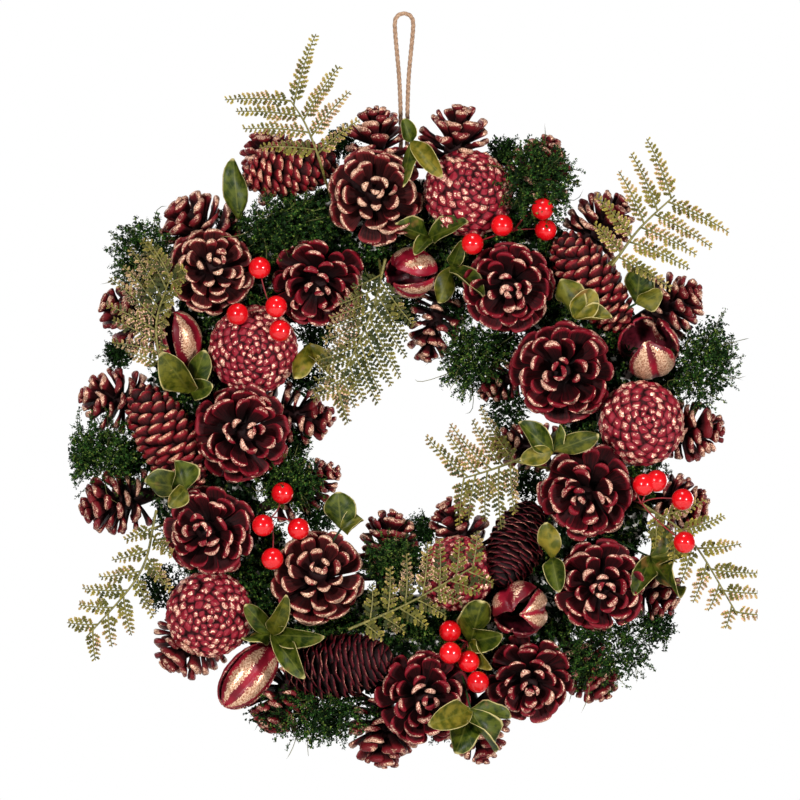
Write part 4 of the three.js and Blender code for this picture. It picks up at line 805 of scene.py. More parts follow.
def fern(pile, spec, seed):
    """A frond: a bent stem with a foot in the foam, and toothed leaflets along both sides."""
    line, left, right, open_angle, lift, thick_set, pale = spec
    rng = np.random.default_rng(seed)
    line = [(x, min(lift, front_over(x, z, RACHIS_WIDTH, all_lumps) - RACHIS_ROOM), z) for x, z in line]
    last = RACHIS_POINTS - 1
    path = catmull(line, RACHIS_POINTS)[0]
    root = path[RACHIS_ROOT]
    tubes(pile, np.linspace(foam_point(root[0], root[2]), root, 6)[None], RACHIS_RADIUS, kind=1, tone=0.6)
    taper = np.linspace(1.0, 0.55, RACHIS_POINTS)[None]
    tubes(pile, path[None], taper * RACHIS_RADIUS, kind=1, tone=0.6)
    pairs = max(len(left), len(right))
    for lengths, hand in ((left, 1), (right, -1)):
        for i in range(round(thick_set * len(lengths))):
            order = i / thick_set
            place = (order + pairs - len(lengths) + 0.25 + 0.1 * hand) / (pairs - 0.25)
            at = min(FIRST_LEAFLET + (1 - FIRST_LEAFLET) * place, 1.0)
            run = np.interp(order, np.arange(len(lengths)), lengths) * MM * rng.uniform(0.8, 1.0)
            index = min(int(at * last), last - 1)
            forward = path[index + 1] - path[index]
            heading = math.atan2(forward[2], forward[0])
            heading += hand * math.radians(open_angle) * (1 - 0.2 * at) + rng.normal(0, 0.05)
            base = path[index] * (1 - at * last + index) + path[index + 1] * (at * last - index)
            x, z = base[0] + run * math.cos(heading), base[2] + run * math.sin(heading)
            tip = np.array([x, clear_tip(base, x, z, base[1] + 0.002, RACHIS_WIDTH), z])
            bow = np.array([0, -0.10 * run, 0]) + forward / np.linalg.norm(forward) * run * 0.06
            pinna(pile, base, (base + tip) / 2 + bow, tip, pale, rng)


def pinna(pile, base, bend, tip, pale, rng):
    """One leaflet: a thin rib with two rows of small toothed lobes, with gaps between them."""
    length = np.linalg.norm(tip - base)
    count = max(int(length / LOBE_STEP), 4)
    pair, right = np.divmod(np.arange(2 * count), 2)
    u = (pair + 0.7 + np.where(right, 0.4, 0.0)) / (count + 0.6)
    hand = np.where(right, -1.0, 1.0)
    weights = np.stack([(1 - u) ** 2, 2 * u * (1 - u), u**2])
    root = np.einsum("kn,kx->nx", weights, np.stack([base, bend, tip]))
    forward = unit((1 - u)[:, None] * (bend - base) + u[:, None] * (tip - bend))
    side = unit(np.cross(forward, [0, 1.0, 0])) * hand[:, None]
    face = np.cross(side, forward) * hand[:, None]
    grow = LOBE_LENGTH * (1.0 - 0.62 * u**1.5) * (0.6 + 0.4 * smooth(0, 0.12, u))
    grow = (grow * rng.uniform(0.82, 1.15, len(u)))[:, None]
    way = unit(side * 0.82 + forward * 0.52 + face * rng.normal(0.25, 0.40, len(u))[:, None])
    lateral = unit(np.cross(face, way))
    dust = pale * 0.5 + rng.uniform(0, 0.5, len(u))
    blade = lateral * grow * 0.15
    diamonds(pile, root, root + way * grow * 0.95, blade, face * 0.0001, rub=0.25 * u, tone=dust)
    for place, share in TEETH:
        start = root + way * grow * place
        for turn in (1, -1):
            lift = face * rng.normal(0.25, 0.35, len(u))[:, None]
            branch = unit(way * 0.80 + lateral * (0.62 * turn) + lift)
            reach = grow * share * rng.uniform(0.8, 1.2, (len(u), 1))
            wide, fold = np.cross(face, branch) * reach * 0.46, face * reach * 0.2
            diamonds(pile, start, start + branch * reach, wide, fold, rub=0.3 + 0.7 * u, tone=dust)
    start, end = root + way * grow * 0.76, root + way * grow * 0.76 + way * grow * 0.34
    wide, fold = lateral * grow * 0.14, face * grow * 0.05
    diamonds(pile, start, end, wide, fold, rub=np.ones(len(u)), tone=dust)
    s = np.linspace(0, 1, 8)[:, None]
    rib = base * (1 - s) ** 2 + bend * 2 * s * (1 - s) + tip * s * s
    tubes(pile, rib[None], np.linspace(0.00058, 0.00028, 8)[None], 5, kind=1, tone=0.3)


# Along a leaf: the share of its length, of its width and of its thickness, and how pale the rim is.
LEAF = [
    (0.0, 0.16, 1.2, 0.0), (0.06, 0.30, 1.1, 0.0), (0.16, 0.60, 1.0, 0.0), (0.26, 0.84, 1.0, 0.0),
    (0.38, 0.97, 1.0, 0.0), (0.5, 1.0, 1.0, 0.0), (0.62, 0.96, 1.0, 0.0), (0.74, 0.85, 1.0, 0.1),
    (0.85, 0.65, 1.0, 0.4), (0.94, 0.40, 1.0, 0.8), (1.0, 0.12, 0.9, 1.0),
]
LEAF_THICK, LEAF_CORNERS = 0.0006, 18
LEAF_HALF = 0.54  # a leaf's half width, as a share of the width in the table
SPRIG_STEM, SPRIG_WIDTH, SPRIG_ROOM = 0.0006, 0.004, 0.002
SPRIG_FRONT = -0.026  # the node of a sprig is at least this far forward


def sprig(pile, x, z, leaves, rng):
    """A few cupped leaves from one node, on a stem out of the foam."""
    node = np.array([x, min(front_over(x, z, SPRIG_WIDTH, all_lumps) - SPRIG_ROOM, SPRIG_FRONT), z])
    angle = math.atan2(z, x)
    foot = RING_RADIUS * np.array([math.cos(angle), 0, math.sin(angle)])
    foot[1] = RING_BACK - RING_THICK + 0.001
    stem(pile, foot, node, SPRIG_STEM, 0.3)
    for i, (heading, length, width) in enumerate(leaves):
        turn = math.radians(heading)
        tx, tz = x + length * MM * math.cos(turn), z + length * MM * math.sin(turn)
        tip = np.array([tx, clear_tip(node, tx, tz, node[1] - 0.003, width * MM / 2), tz])
        run = tip - node
        side = unit(np.cross(run, [0, 1.0, 0]))
        face = unit(np.cross(side, run))
        face = face if face[1] < 0 else -face
        roll = rng.normal(0, 0.45)
        side = unit(side * math.cos(roll) + face * math.sin(roll))
        bend = node + run * 0.5 + face * length * MM * rng.uniform(0.10, 0.28)
        cup = rng.uniform(0.4, 1.0) * (1 if i % 3 else -0.7)
        blades(
            pile, node[None], bend[None], tip[None], side[None], np.array([width * MM * LEAF_HALF]),
            np.array([LEAF_THICK]), np.array([cup]), LEAF, LEAF_CORNERS,
            twist=rng.normal(0, 1.1), wave=0.22, tone=np.array([rng.uniform(0, 1)]),
        )


def garland(pile, sprigs, seed):
    rng = np.random.default_rng(seed)
    for x, z, leaves in sprigs:
        sprig(pile, x, z, leaves, rng)


# Fine green twigs, with tiny folded leaves all along
MOSS_STEP, MOSS_LEAF = 0.0016, (0.00045, 0.00085)
MOSS_THREAD, BARE_THREAD = 0.00016, 0.00019  # radii
LEAVES_A_STEP = 4
EDGE_ROOM = 0.0026  # how near the side of the object's box a thread may come
BOX_LOW, BOX_HIGH = np.array(CAD_LOW) + (0, 0, DROP), np.array(CAD_HIGH) + (0, 0, DROP)


def turned_back(paths):
    """Threads, as (thread, point, xyz), that double back where they would leave the object's box."""
    outside = ((paths < BOX_LOW + EDGE_ROOM) | (paths > BOX_HIGH - EDGE_ROOM)).any(-1)
    outside[:, -1] = True
    last = np.maximum(outside.argmax(1) - 1, 0)[:, None]
    step = np.arange(paths.shape[1])[None]
    kept = np.abs(last - np.abs(step - last))
    return np.take_along_axis(paths, np.minimum(kept, last)[..., None], axis=1)


def moss_threads(pile, start, way, reach, rng, brightest=1.0):
    """Threads that wander from start, as a cloud of tiny leaves on hair-thin stems."""
    threads = len(start)
    steps = max(int(reach / MOSS_STEP), 4)
    swirl = rng.normal(0, 0.22, (threads, 3))
    paths = [start]
    lasts = rng.uniform(0.45, 1.0, threads)
    for k in range(steps):
        swirl = 0.85 * swirl + rng.normal(0, 0.12, (threads, 3))
        way = unit(way + swirl)
        going = (k / steps < lasts)[:, None]
        paths.append(paths[-1] + way * MOSS_STEP * np.where(going, 1.0, 0.12))
    paths = turned_back(np.stack(paths, 1))
    tubes(pile, paths[:, ::2], MOSS_THREAD, 3, kind=1, tone=rng.uniform(0, 1, threads))
    spots = np.repeat(paths[:, 1:].reshape(-1, 3), LEAVES_A_STEP, axis=0)
    many = len(spots)
    spots = spots + unit(rng.normal(0, 1, (many, 3))) * rng.uniform(0.0002, 0.0016, (many, 1))
    tiny_leaves(pile, spots, rng.uniform(*MOSS_LEAF, (many, 1)), rng, brightest)


def tiny_leaves(pile, spots, size, rng, brightest=1.0):
    many = len(spots)
    one = unit(rng.normal(0, 1, (many, 3)))
    two = unit(np.cross(one, rng.normal(0, 1, (many, 3))))
    fold = np.cross(one, two) * size * 0.4
    tone = rng.uniform(0, brightest, many)
    diamonds(pile, spots - one * size, spots + one * size, two * size * 0.62, fold, tone=tone)


SPRAY_ROOM = np.array([0.021, 0, 0.021])  # from a spray's middle to the side of the object's box
SPRAY_THREADS, BARE_STEMS, SPRAY_HEART = 185, 16, 900
SPRAY_SWELL, SPRAY_STRETCH = 1.15, 1.25  # how much wider and longer the loose threads make a spray


def moss_spray(pile, place, seed):
    lump, spec = place
    rng = np.random.default_rng(seed)
    reach = spec[6] * SPRAY_STRETCH
    half = np.array([lump.a, lump.a, lump.c]) * SPRAY_SWELL
    ball = unit(rng.normal(0, 1, (SPRAY_THREADS, 3)))
    middle = np.clip(lump.middle, BOX_LOW + SPRAY_ROOM, BOX_HIGH - SPRAY_ROOM)
    start = middle + (ball * half * rng.uniform(0.2, 0.95, (SPRAY_THREADS, 1)) ** 0.5) @ lump.turn.T
    outward = unit((ball / half) @ lump.turn.T)
    way = unit(outward + rng.normal(0, 0.35, (SPRAY_THREADS, 3)) - np.array([0, 0.35, 0]))
    moss_threads(pile, start, way, reach, rng)
    moss_heart(pile, middle, np.diag(half) @ lump.turn.T, 1.45, SPRAY_HEART, rng)
    bare_stems(pile, start[:BARE_STEMS], way[:BARE_STEMS], reach, rng)


def bare_stems(pile, start, way, reach, rng):
    """A few pale stems without leaves, bowed and longer than the rest."""
    s = np.linspace(0, 1, 7)[None, :, None]
    run = way * reach * rng.uniform(0.9, 1.5, (len(start), 1))
    bow = rng.normal(0, 0.16, (len(start), 3)) * reach
    paths = start[:, None] + run[:, None] * s + bow[:, None] * np.sin(np.pi * s)
    tubes(pile, turned_back(paths), BARE_THREAD, 4, kind=1, tone=rng.uniform(0.7, 1.0, len(start)))


def moss_heart(pile, middle, halves, spread, leaves, rng):
    """The leafy inside of a tuft, kept dark as painted shade."""
    ball = unit(rng.normal(0, 1, (leaves, 3))) * rng.uniform(0, 1, (leaves, 1)) ** 0.45 * spread
    tiny_leaves(pile, middle + ball @ halves, rng.uniform(0.0009, 0.0017, (leaves, 1)), rng, 0.45)


def uncovered(foot):
    """Which of these places on the foam's front no cone or pod stands before."""
    free = np.ones(len(foot), bool)
    for lump in cone_lumps:
        start = (foot + [0, -0.004, 0] - lump.middle) @ lump.shrink.T
        along = lump.shrink[:, 1]
        b, c = start @ along, (start**2).sum(1) - 1
        free &= (b * b - along.dot(along) * c < 0) | (b < 0)
    return free


# Tufts that fill the gaps between the cones, kept dark there as painted shade: x, z and half width in
# millimetres.
TUFTS = [
    (-0.048, 0.057, 9), (-0.055, 0.031, 9), (-0.032, 0.073, 8), (-0.059, -0.004, 7), (-0.048, -0.045, 8),
    (0.010, -0.052, 6), (0.057, 0.014, 10), (0.069, -0.026, 9), (0.146, 0.031, 8), (0.139, -0.104, 8),
    (-0.041, -0.156, 9), (-0.156, 0.046, 7), (-0.148, -0.013, 9), (-0.035, 0.160, 7), (-0.094, 0.116, 8),
    (0.054, 0.156, 7), (0.000, 0.070, 8), (0.029, 0.070, 8), (0.056, 0.052, 8), (-0.133, -0.083, 10),
    (0.020, -0.160, 6),
]
TUFT_THREADS, TUFT_REACH, TUFT_HEART, TUFT_DEPTH = 45, 0.010, 420, -0.006
TUFT_SHAPE = np.array([1, 0.6, 1])
# The mat on the foam's front: its leaves, how long they are, and how many threads stand on it.
MAT_LEAVES, MAT_LEAF, MAT_THREADS, MAT_REACH = 15000, (0.0018, 0.0034), 1300, 0.012


def moss_tufts(pile, seed):
    rng = np.random.default_rng(seed)
    for x, z, half in TUFTS:
        ball = unit(rng.normal(0, 1, (TUFT_THREADS, 3)))
        middle = np.array([x, TUFT_DEPTH, z])
        start = middle + ball * TUFT_SHAPE * half * MM * rng.uniform(0.1, 0.9, (TUFT_THREADS, 1))
        # The tufts' threads are dimmer than the sprays', painted shade in the gaps.
        moss_threads(pile, start, unit(ball - np.array([0, 0.3, 0])), TUFT_REACH, rng, 0.7)
        moss_heart(pile, middle, np.diag(TUFT_SHAPE) * half * MM, 1.25, TUFT_HEART, rng)


def moss_between(pile, seed):
    """A mat of dark leaves on the foam's front, as painted shade, and moss standing wherever no cone or pod
    covers it.
    """
    rng = np.random.default_rng(seed)
    around = rng.uniform(0, 2 * np.pi, MAT_LEAVES)
    share = rng.uniform(-0.99, 0.99, MAT_LEAVES)
    radius = RING_RADIUS + share * (RING_HALF + 0.0005)
    depth = RING_BACK - RING_THICK * np.sqrt(1 - share**2) - rng.uniform(0.0005, 0.0025, MAT_LEAVES)
    foot = np.stack([radius * np.cos(around), depth, radius * np.sin(around)], -1)
    # The mat's leaves are kept dark: painted shade over the foam between the cones.
    tiny_leaves(pile, foot, rng.uniform(*MAT_LEAF, (MAT_LEAVES, 1)), rng, 0.35)
    open_to_view = uncovered(foot)
    foot, share, around = (values[open_to_view][:MAT_THREADS] for values in (foot, share, around))
    away = np.stack([share * np.cos(around), np.full(len(foot), -1.3), share * np.sin(around)], -1)
    moss_threads(pile, foot, unit(away + rng.normal(0, 0.4, (len(foot), 3))), MAT_REACH, rng)


# Berries on wires
BERRY_STAND = 0.012  # a berry's middle is at least this far before the foam
BERRY_ROOM, BERRY_MOVE = 0.0006, 0.0005  # to the cones behind it, and the steps in which it comes forward
BERRY_ROWS, BERRY_CORNERS, BERRY_POLE = 14, 24, 0.10
BERRY_WIRE, BERRY_STEM = 0.00042, 0.0006


def berry_spray(pile, root, front, berries, seed):
    """Berries on bowed wires from one stem, each as far back as the cones behind it allow."""
    rng = np.random.default_rng(seed)
    places = []
    for x, z in berries:
        place = np.array([x, min(ring_front(math.hypot(x, z)) - BERRY_STAND, front), z])
        close = [lump for lump in all_lumps if np.linalg.norm(lump.middle - place) < FAR]
        near = np.concatenate([lump.surface() for lump in close])
        while (
            front_at(x, z, all_lumps) < place[1] + BERRY_RADIUS
            or (np.linalg.norm(near - place, axis=1) < BERRY_RADIUS + BERRY_ROOM).any()
        ):
            place[1] -= BERRY_MOVE
        places.append(place)
    hub = np.array([root[0], max(place[1] for place in places) + 0.002, root[1]])
    stem(pile, foam_point(*root), hub, BERRY_STEM, 0.5)
    for place in places:
        bow = np.array([0, 0.002, 0]) + rng.normal(0, 0.0015, 3)
        s = np.linspace(0, 1, 9)[:, None]
        wire = hub * (1 - s) + place * s + bow * np.sin(np.pi * s)
        tubes(pile, wire[None], BERRY_WIRE, kind=1, tone=0.5)
        axis = unit(place - hub)
        side = unit(np.cross(axis, [0.2, 0.3, 0.9]))
        other = np.cross(axis, side)
        polar = np.linspace(BERRY_POLE, math.pi - BERRY_POLE, BERRY_ROWS)
        angle = 2 * np.pi * np.arange(BERRY_CORNERS) / BERRY_CORNERS
        radius = BERRY_RADIUS * np.where(polar < 0.3, 0.97, 1.0)  # a little flat where the wire enters
        out = (radius * np.sin(polar))[:, None, None]
        rings = (
            place
            - axis * (radius * np.cos(polar))[:, None, None]
            + side * out * np.cos(angle)[None, :, None]
            + other * out * np.sin(angle)[None, :, None]
        )
        lofts(pile, rings[None], tone=rng.uniform(0, 1))


# The foam ring, a half-oval section with a flat back and soft edges
FOAM_FRONT_POINTS, FOAM_BACK_POINTS, FOAM_STEPS = 20, 14, 144
FOAM_ROUNDING = 0.0008


def foam_ring(pile):
    thick = RING_THICK - FOAM_ROUNDING
    turns = np.linspace(0, math.pi, FOAM_FRONT_POINTS)
    front = [(math.cos(t) * RING_HALF, RING_BACK - FOAM_ROUNDING - thick * math.sin(t)) for t in turns]
    edge = RING_HALF - 1.5 * FOAM_ROUNDING
    back = [(v * edge, RING_BACK) for v in np.linspace(-1, 1, FOAM_BACK_POINTS)]
    across, depth = np.array(front + back).T[:, :, None]
    around = 2 * np.pi * np.arange(FOAM_STEPS) / FOAM_STEPS
    radius = RING_RADIUS + across
    points = np.stack([radius * np.sin(around), depth * np.ones(FOAM_STEPS), radius * np.cos(around)], -1)
    ids = np.arange(points.size // 3).reshape(points.shape[:2])
    down, right = np.roll(ids, -1, axis=0), np.roll(ids, -1, axis=1)
    both = np.roll(right, -1, axis=0)
    faces = np.stack([ids, right, both, down], -1).reshape(-1, 4)
    pile.add(points, [faces[:, ::-1]])


# The jute loop: three strands laid round each other
STRANDS, STRAND_TURN = 3, 0.0095  # a strand goes once round in this length
STRAND_OFF, STRAND_RADIUS = 0.46 * CORD_RADIUS, 0.56 * CORD_RADIUS


def jute_loop(pile):
    path, length = catmull(LOOP_ROUTE, 240)
    path = path + np.array([0, 0, DROP])
    forward = unit(np.gradient(path, axis=0))
    side = unit(np.cross(forward, [0, 1.0, 0.02]))
    other = np.cross(forward, side)
    twist = 2 * np.pi * np.linspace(0, length / STRAND_TURN, len(path))
    strands = []
    for k in range(STRANDS):
        angle = (twist + 2 * np.pi * k / STRANDS)[:, None]
        strands.append(path + (side * np.cos(angle) + other * np.sin(angle)) * STRAND_OFF)
    tubes(pile, np.stack(strands), STRAND_RADIUS, 10, tone=np.array([0.2, 0.5, 0.8]))
    return length


# Materials
class Shader:
    """Short names for the parts of one material. The point values rub, along, across and tone steer it."""

    def __init__(self, name, **settings):
        self.material = bpy.data.materials.new(name)
        self.material.use_nodes = True
        self.tree = self.material.node_tree
        self.surface = self.tree.nodes["Principled BSDF"]
        for key, value in settings.items():
            self.surface.inputs[key].default_value = value
        self.place = self.node("ShaderNodeTexCoord").outputs["Object"]

    def node(self, kind, **settings):
        made = self.tree.nodes.new(kind)
        for key, value in settings.items():
            setattr(made, key, value)
        return made

    def link(self, target, value):
        if isinstance(value, bpy.types.NodeSocket):
            self.tree.links.new(value, target)
        else:
            target.default_value = value

    def value(self, name):
        return self.node("ShaderNodeAttribute", attribute_name=name).outputs["Fac"]

    def maths(self, operation, one, two=0.0, clamp=False):
        made = self.node("ShaderNodeMath", operation=operation, use_clamp=clamp)
        self.link(made.inputs[0], one)
        self.link(made.inputs[1], two)
        return made.outputs[0]

    def times(self, one, two, clamp=False):
        return self.maths("MULTIPLY", one, two, clamp)

    def plus(self, total, *others):
        for other in others:
            total = self.maths("ADD", total, other)
        return total

    def swing(self, value, size):
        """value, from 0 to 1, as a number from minus to plus half of size."""
        return self.times(self.maths("SUBTRACT", value, 0.5), size)

    def most(self, one, two):
        return self.maths("MAXIMUM", one, two)

    def ease(self, value, low, high, start=0.0, stop=1.0):
        """start below low, stop above high, and smooth between."""
        made = self.node("ShaderNodeMapRange", interpolation_type="SMOOTHSTEP")
        for index, number in enumerate((value, low, high, start, stop)):
            self.link(made.inputs[index], number)
        return made.outputs[0]

    def noise(self, scale, detail=3.0, rough=0.5, vector=None):
        made = self.node("ShaderNodeTexNoise")
        self.link(made.inputs["Vector"], self.place if vector is None else vector)
        made.inputs["Scale"].default_value = scale
        made.inputs["Detail"].default_value = detail
        made.inputs["Roughness"].default_value = rough
        return made.outputs[0]

    def cells(self, scale):
        made = self.node("ShaderNodeTexVoronoi")
        self.link(made.inputs["Vector"], self.place)
        made.inputs["Scale"].default_value = scale
        return made.outputs["Distance"]

    def mix(self, share, one, two):
        """The colour one where share is 0, and two where it is 1."""
        made = self.node("ShaderNodeMix", data_type="RGBA")
        self.link(made.inputs[0], share)
        for index, colour in ((6, one), (7, two)):
            self.link(made.inputs[index], (*colour, 1) if isinstance(colour, tuple) else colour)
        return made.outputs[2]

    def join(self, x, y, z):
        made = self.node("ShaderNodeCombineXYZ")
        for index, number in enumerate((x, y, z)):
            self.link(made.inputs[index], number)
        return made.outputs[0]

    def bump(self, height, strength, distance, under=None):
        made = self.node("ShaderNodeBump")
        made.inputs["Strength"].default_value = strength
        made.inputs["Distance"].default_value = distance
        self.link(made.inputs["Height"], height)
        if under is not None:
            self.link(made.inputs["Normal"], under)
        return made.outputs[0]

    def finish(self, **sockets):
        for name, value in sockets.items():
            self.link(self.surface.inputs[name.replace("_", " ")], value)
        return self.material


def cone_paint(name, dark, bright, rim, copper_dark, copper_light, reach, patch_scale=170.0):
    """Dyed scales, darkened towards the root as painted shade and streaked along, with a painted highlight
    that makes the rims brighter, and copper brushed on the ends. reach: how far the copper goes past the
    ends."""
    s = Shader(name, **{"Specular IOR Level": 0.22})
    along, across, tone, rub = s.value("along"), s.value("across"), s.value("tone"), s.value("rub")
    streak = s.noise(1.0, 4.0, 0.6, s.join(s.times(across, 7.0), s.times(along, 1.3), s.times(tone, 40.0)))
    blotch, fine = s.noise(patch_scale, 3.0), s.noise(1300.0, 4.0, 0.6)
    # lit: painted shade that darkens each scale towards its root, times the real streaks of the grain
    lit = s.times(s.ease(along, 0.2, 1.0), s.ease(streak, 0.32, 0.68, 0.12, 1.0))
    dye_with_painted_light = s.mix(s.times(lit, s.ease(tone, 0.0, 1.0, 0.6, 1.2), clamp=True), dark, bright)
    # edge: a painted highlight that mixes the rims and the rubbed ends towards the brighter rim colour
    edge = s.most(s.ease(s.maths("ABSOLUTE", across), 0.86, 1.0), s.ease(rub, 0.05, 0.5))
    edge = s.times(edge, s.ease(along, 0.45, 0.85))
    dye_with_painted_light = s.mix(edge, dye_with_painted_light, rim)
    brushed = s.plus(rub, s.swing(blotch, 1.7), s.swing(fine, 1.0), s.swing(tone, 0.35))
    brushed = s.ease(brushed, 0.74 - reach, 0.98 - reach)
    metal = s.mix(s.ease(fine, 0.38, 0.62), copper_dark, copper_light)
    return s.finish(
        Base_Color=s.mix(brushed, dye_with_painted_light, metal),
        Metallic=s.times(brushed, 0.4),
        Roughness=s.ease(s.most(s.times(edge, 0.6), brushed), 0.0, 1.0, 0.66, 0.30),
        Normal=s.bump(fine, 0.6, 0.0004, s.bump(streak, 0.6, 0.0007)),
    )


def pod_paint():
    """Red shells, patched with gold outside and dark inside. along is 1 outside and 0 inside."""
    s = Shader("pod_paint", **{"Specular IOR Level": 0.3})
    outside, rub = s.value("along"), s.value("rub")
    blotch, fine = s.noise(120.0, 4.0, 0.65), s.noise(1100.0, 4.0, 0.6)
    red = s.mix(s.ease(s.noise(60.0, 2.0), 0.35, 0.65), (0.12, 0.003, 0.010), (0.34, 0.009, 0.027))
    gilt = s.plus(rub, s.swing(blotch, 1.3), s.swing(fine, 1.1))
    gilt = s.times(s.ease(gilt, 0.56, 0.74), s.ease(outside, 0.2, 0.9, 0.3, 1.0))
    gold = s.mix(s.ease(fine, 0.35, 0.65), (0.40, 0.15, 0.07), (0.92, 0.62, 0.42))
    dark = s.mix(s.ease(blotch, 0.4, 0.6), (0.020, 0.002, 0.004), (0.10, 0.008, 0.016))
    red = s.mix(s.ease(outside, 0.1, 0.9), dark, red)
    return s.finish(
        Base_Color=s.mix(gilt, red, gold),
        Metallic=s.times(gilt, 0.5),
        Roughness=s.ease(gilt, 0.0, 1.0, 0.36, 0.28),
        Normal=s.bump(s.plus(blotch, s.times(fine, 0.4)), 0.5, 0.0007),
    )


def leaf_paint():
    """Mottled olive to yellow leaves with a pale midrib, faint veins, tan patches and a cream rim."""
    s = Shader("leaf_paint", **{"Specular IOR Level": 0.25})
    along, across, tone = s.value("along"), s.value("across"), s.value("tone")
    wide = s.maths("ABSOLUTE", across)
    mottle, fine = s.noise(220.0, 3.0), s.noise(1500.0, 3.0)
    olive = s.mix(s.ease(mottle, 0.35, 0.65), (0.012, 0.026, 0.001), (0.070, 0.088, 0.004))
    yellow = s.mix(s.ease(mottle, 0.35, 0.65), (0.065, 0.070, 0.003), (0.22, 0.17, 0.016))
    body = s.mix(s.ease(tone, 0.45, 0.95), olive, yellow)
    rib = s.ease(wide, 0.09, 0.02)
    comb = s.maths("SINE", s.times(s.maths("SUBTRACT", along, s.times(wide, 0.35)), 46.0))
    veins = s.times(s.ease(comb, 0.86, 0.99), 0.16)
    body = s.mix(s.most(s.times(rib, 0.4), veins), body, (0.17, 0.17, 0.03))
    body = s.mix(s.times(s.ease(s.noise(75.0, 3.0), 0.60, 0.72), 0.7), body, (0.25, 0.115, 0.032))
    rim = s.most(s.ease(wide, 0.90, 0.985), s.ease(along, 0.94, 1.0))
    rim = s.times(rim, s.ease(fine, 0.2, 0.5, 0.55, 1.0))
    relief = s.plus(s.times(veins, 1.5), s.times(mottle, 0.5))
    return s.finish(
        Base_Color=s.mix(rim, body, (0.58, 0.48, 0.20)),
        Roughness=s.ease(mottle, 0.3, 0.7, 0.38, 0.55),
        Normal=s.bump(relief, 0.4, 0.0005),
    )


def fern_paint():
    """Olive lobes, yellower towards the leaflets' ends, dusted with cream and pink on most tips."""
    s = Shader("fern_paint", **{"Specular IOR Level": 0.25})
    rub, tone, along = s.value("rub"), s.value("tone"), s.value("along")
    patch, fine = s.noise(38.0, 2.0), s.noise(2600.0, 2.0)
    olive = s.mix(s.ease(tone, 0.1, 0.9), (0.020, 0.028, 0.003), (0.18, 0.155, 0.016))
    yellow = s.mix(s.ease(tone, 0.1, 0.9), (0.050, 0.054, 0.006), (0.50, 0.38, 0.06))
    olive = s.mix(s.ease(rub, 0.5, 1.0, 0.0, 0.85), olive, yellow)
    tip = s.mix(s.ease(fine, 0.4, 0.6), (0.42, 0.15, 0.09), (0.86, 0.60, 0.40))
    dust = s.plus(s.times(along, 0.8), s.swing(patch, 1.5), s.swing(tone, 0.3))
    dust = s.times(s.ease(dust, 0.50, 0.80), s.ease(rub, 0.05, 0.3))
    dust = s.times(dust, s.ease(rub, 0.6, 0.95, 1.0, 0.3))
    return s.finish(
        Base_Color=s.mix(dust, olive, tip),
        Metallic=s.times(dust, 0.2),
        Roughness=s.ease(dust, 0.0, 1.0, 0.65, 0.40),
        Normal=s.bump(fine, 0.5, 0.0003),
    )


def stalk_paint():
    s = Shader("fern_stalk_paint")
    fine = s.noise(900.0, 3.0)
    return s.finish(
        Base_Color=s.mix(s.ease(fine, 0.3, 0.7), (0.070, 0.070, 0.009), (0.24, 0.20, 0.045)),
        Roughness=s.ease(fine, 0.3, 0.7, 0.45, 0.6),
    )


def moss_paint():
    s = Shader("moss_paint", **{"Specular IOR Level": 0.1})
    tone, patch = s.value("tone"), s.noise(70.0, 2.0)
    green = s.mix(s.ease(tone, 0.2, 0.95), (0.003, 0.012, 0.002), (0.034, 0.110, 0.014))
    fresh = s.most(s.times(s.ease(patch, 0.5, 0.75), 0.6), s.ease(tone, 0.84, 0.92))
    green = s.mix(s.times(fresh, s.ease(tone, 0.3, 0.9)), green, (0.150, 0.205, 0.034))
    return s.finish(Base_Color=green, Roughness=s.ease(patch, 0.3, 0.7, 0.55, 0.8))


def twig_paint():
    s = Shader("twig_paint", **{"Specular IOR Level": 0.2})
    tone = s.value("tone")
    return s.finish(
        Base_Color=s.mix(s.ease(tone, 0.75, 0.95), (0.012, 0.035, 0.007), (0.16, 0.15, 0.05)),
        Roughness=s.ease(tone, 0.0, 1.0, 0.55, 0.8),
    )


def berry_paint():
    s = Shader("berry_paint", **{"Coat Weight": 0.8, "Coat Roughness": 0.05, "Specular IOR Level": 0.3})
    shade, dimple = s.noise(90.0, 2.0), s.noise(900.0, 2.0)
    return s.finish(
        Base_Color=s.mix(s.ease(shade, 0.3, 0.7), (0.58, 0.002, 0.006), (0.76, 0.005, 0.009)),
        Roughness=s.ease(dimple, 0.3, 0.7, 0.20, 0.28),
        Normal=s.bump(shade, 0.10, 0.0006),
    )


def wire_paint():
    s = Shader("wire_paint")
    return s.finish(
        Base_Color=s.mix(s.noise(500.0, 2.0), (0.30, 0.006, 0.010), (0.12, 0.006, 0.008)),
        Roughness=s.ease(s.noise(800.0), 0.3, 0.7, 0.4, 0.6),
    )


def jute_paint():
    s = Shader("jute_paint")
    tone, along = s.value("tone"), s.value("along")
    fibre = s.noise(1.0, 5.0, 0.7, s.join(s.times(along, 160.0), s.times(tone, 9.0), s.noise(900.0, 2.0)))
    fine = s.noise(2600.0, 3.0)
    shade = s.ease(s.plus(s.times(fibre, 0.6), s.times(fine, 0.4)), 0.3, 0.7)
    return s.finish(
        Base_Color=s.mix(shade, (0.20, 0.105, 0.058), (0.56, 0.36, 0.23)),
        Roughness=s.ease(fine, 0.2, 0.8, 0.8, 0.95),
        Normal=s.bump(s.plus(fibre, fine), 0.6, 0.0003),
    )


def foam_paint():
    s = Shader("foam_paint")
    beads = s.cells(420.0)
    soil = s.noise(30.0, 3.0)
    return s.finish(
        Base_Color=s.mix(s.ease(beads, 0.3, 0.75, 0.0, 0.7), (0.80, 0.78, 0.73), (0.60, 0.57, 0.51)),
        Roughness=s.ease(soil, 0.3, 0.7, 0.75, 0.95),
        Normal=s.bump(s.times(beads, -1.0), 0.6, 0.0008),
    )
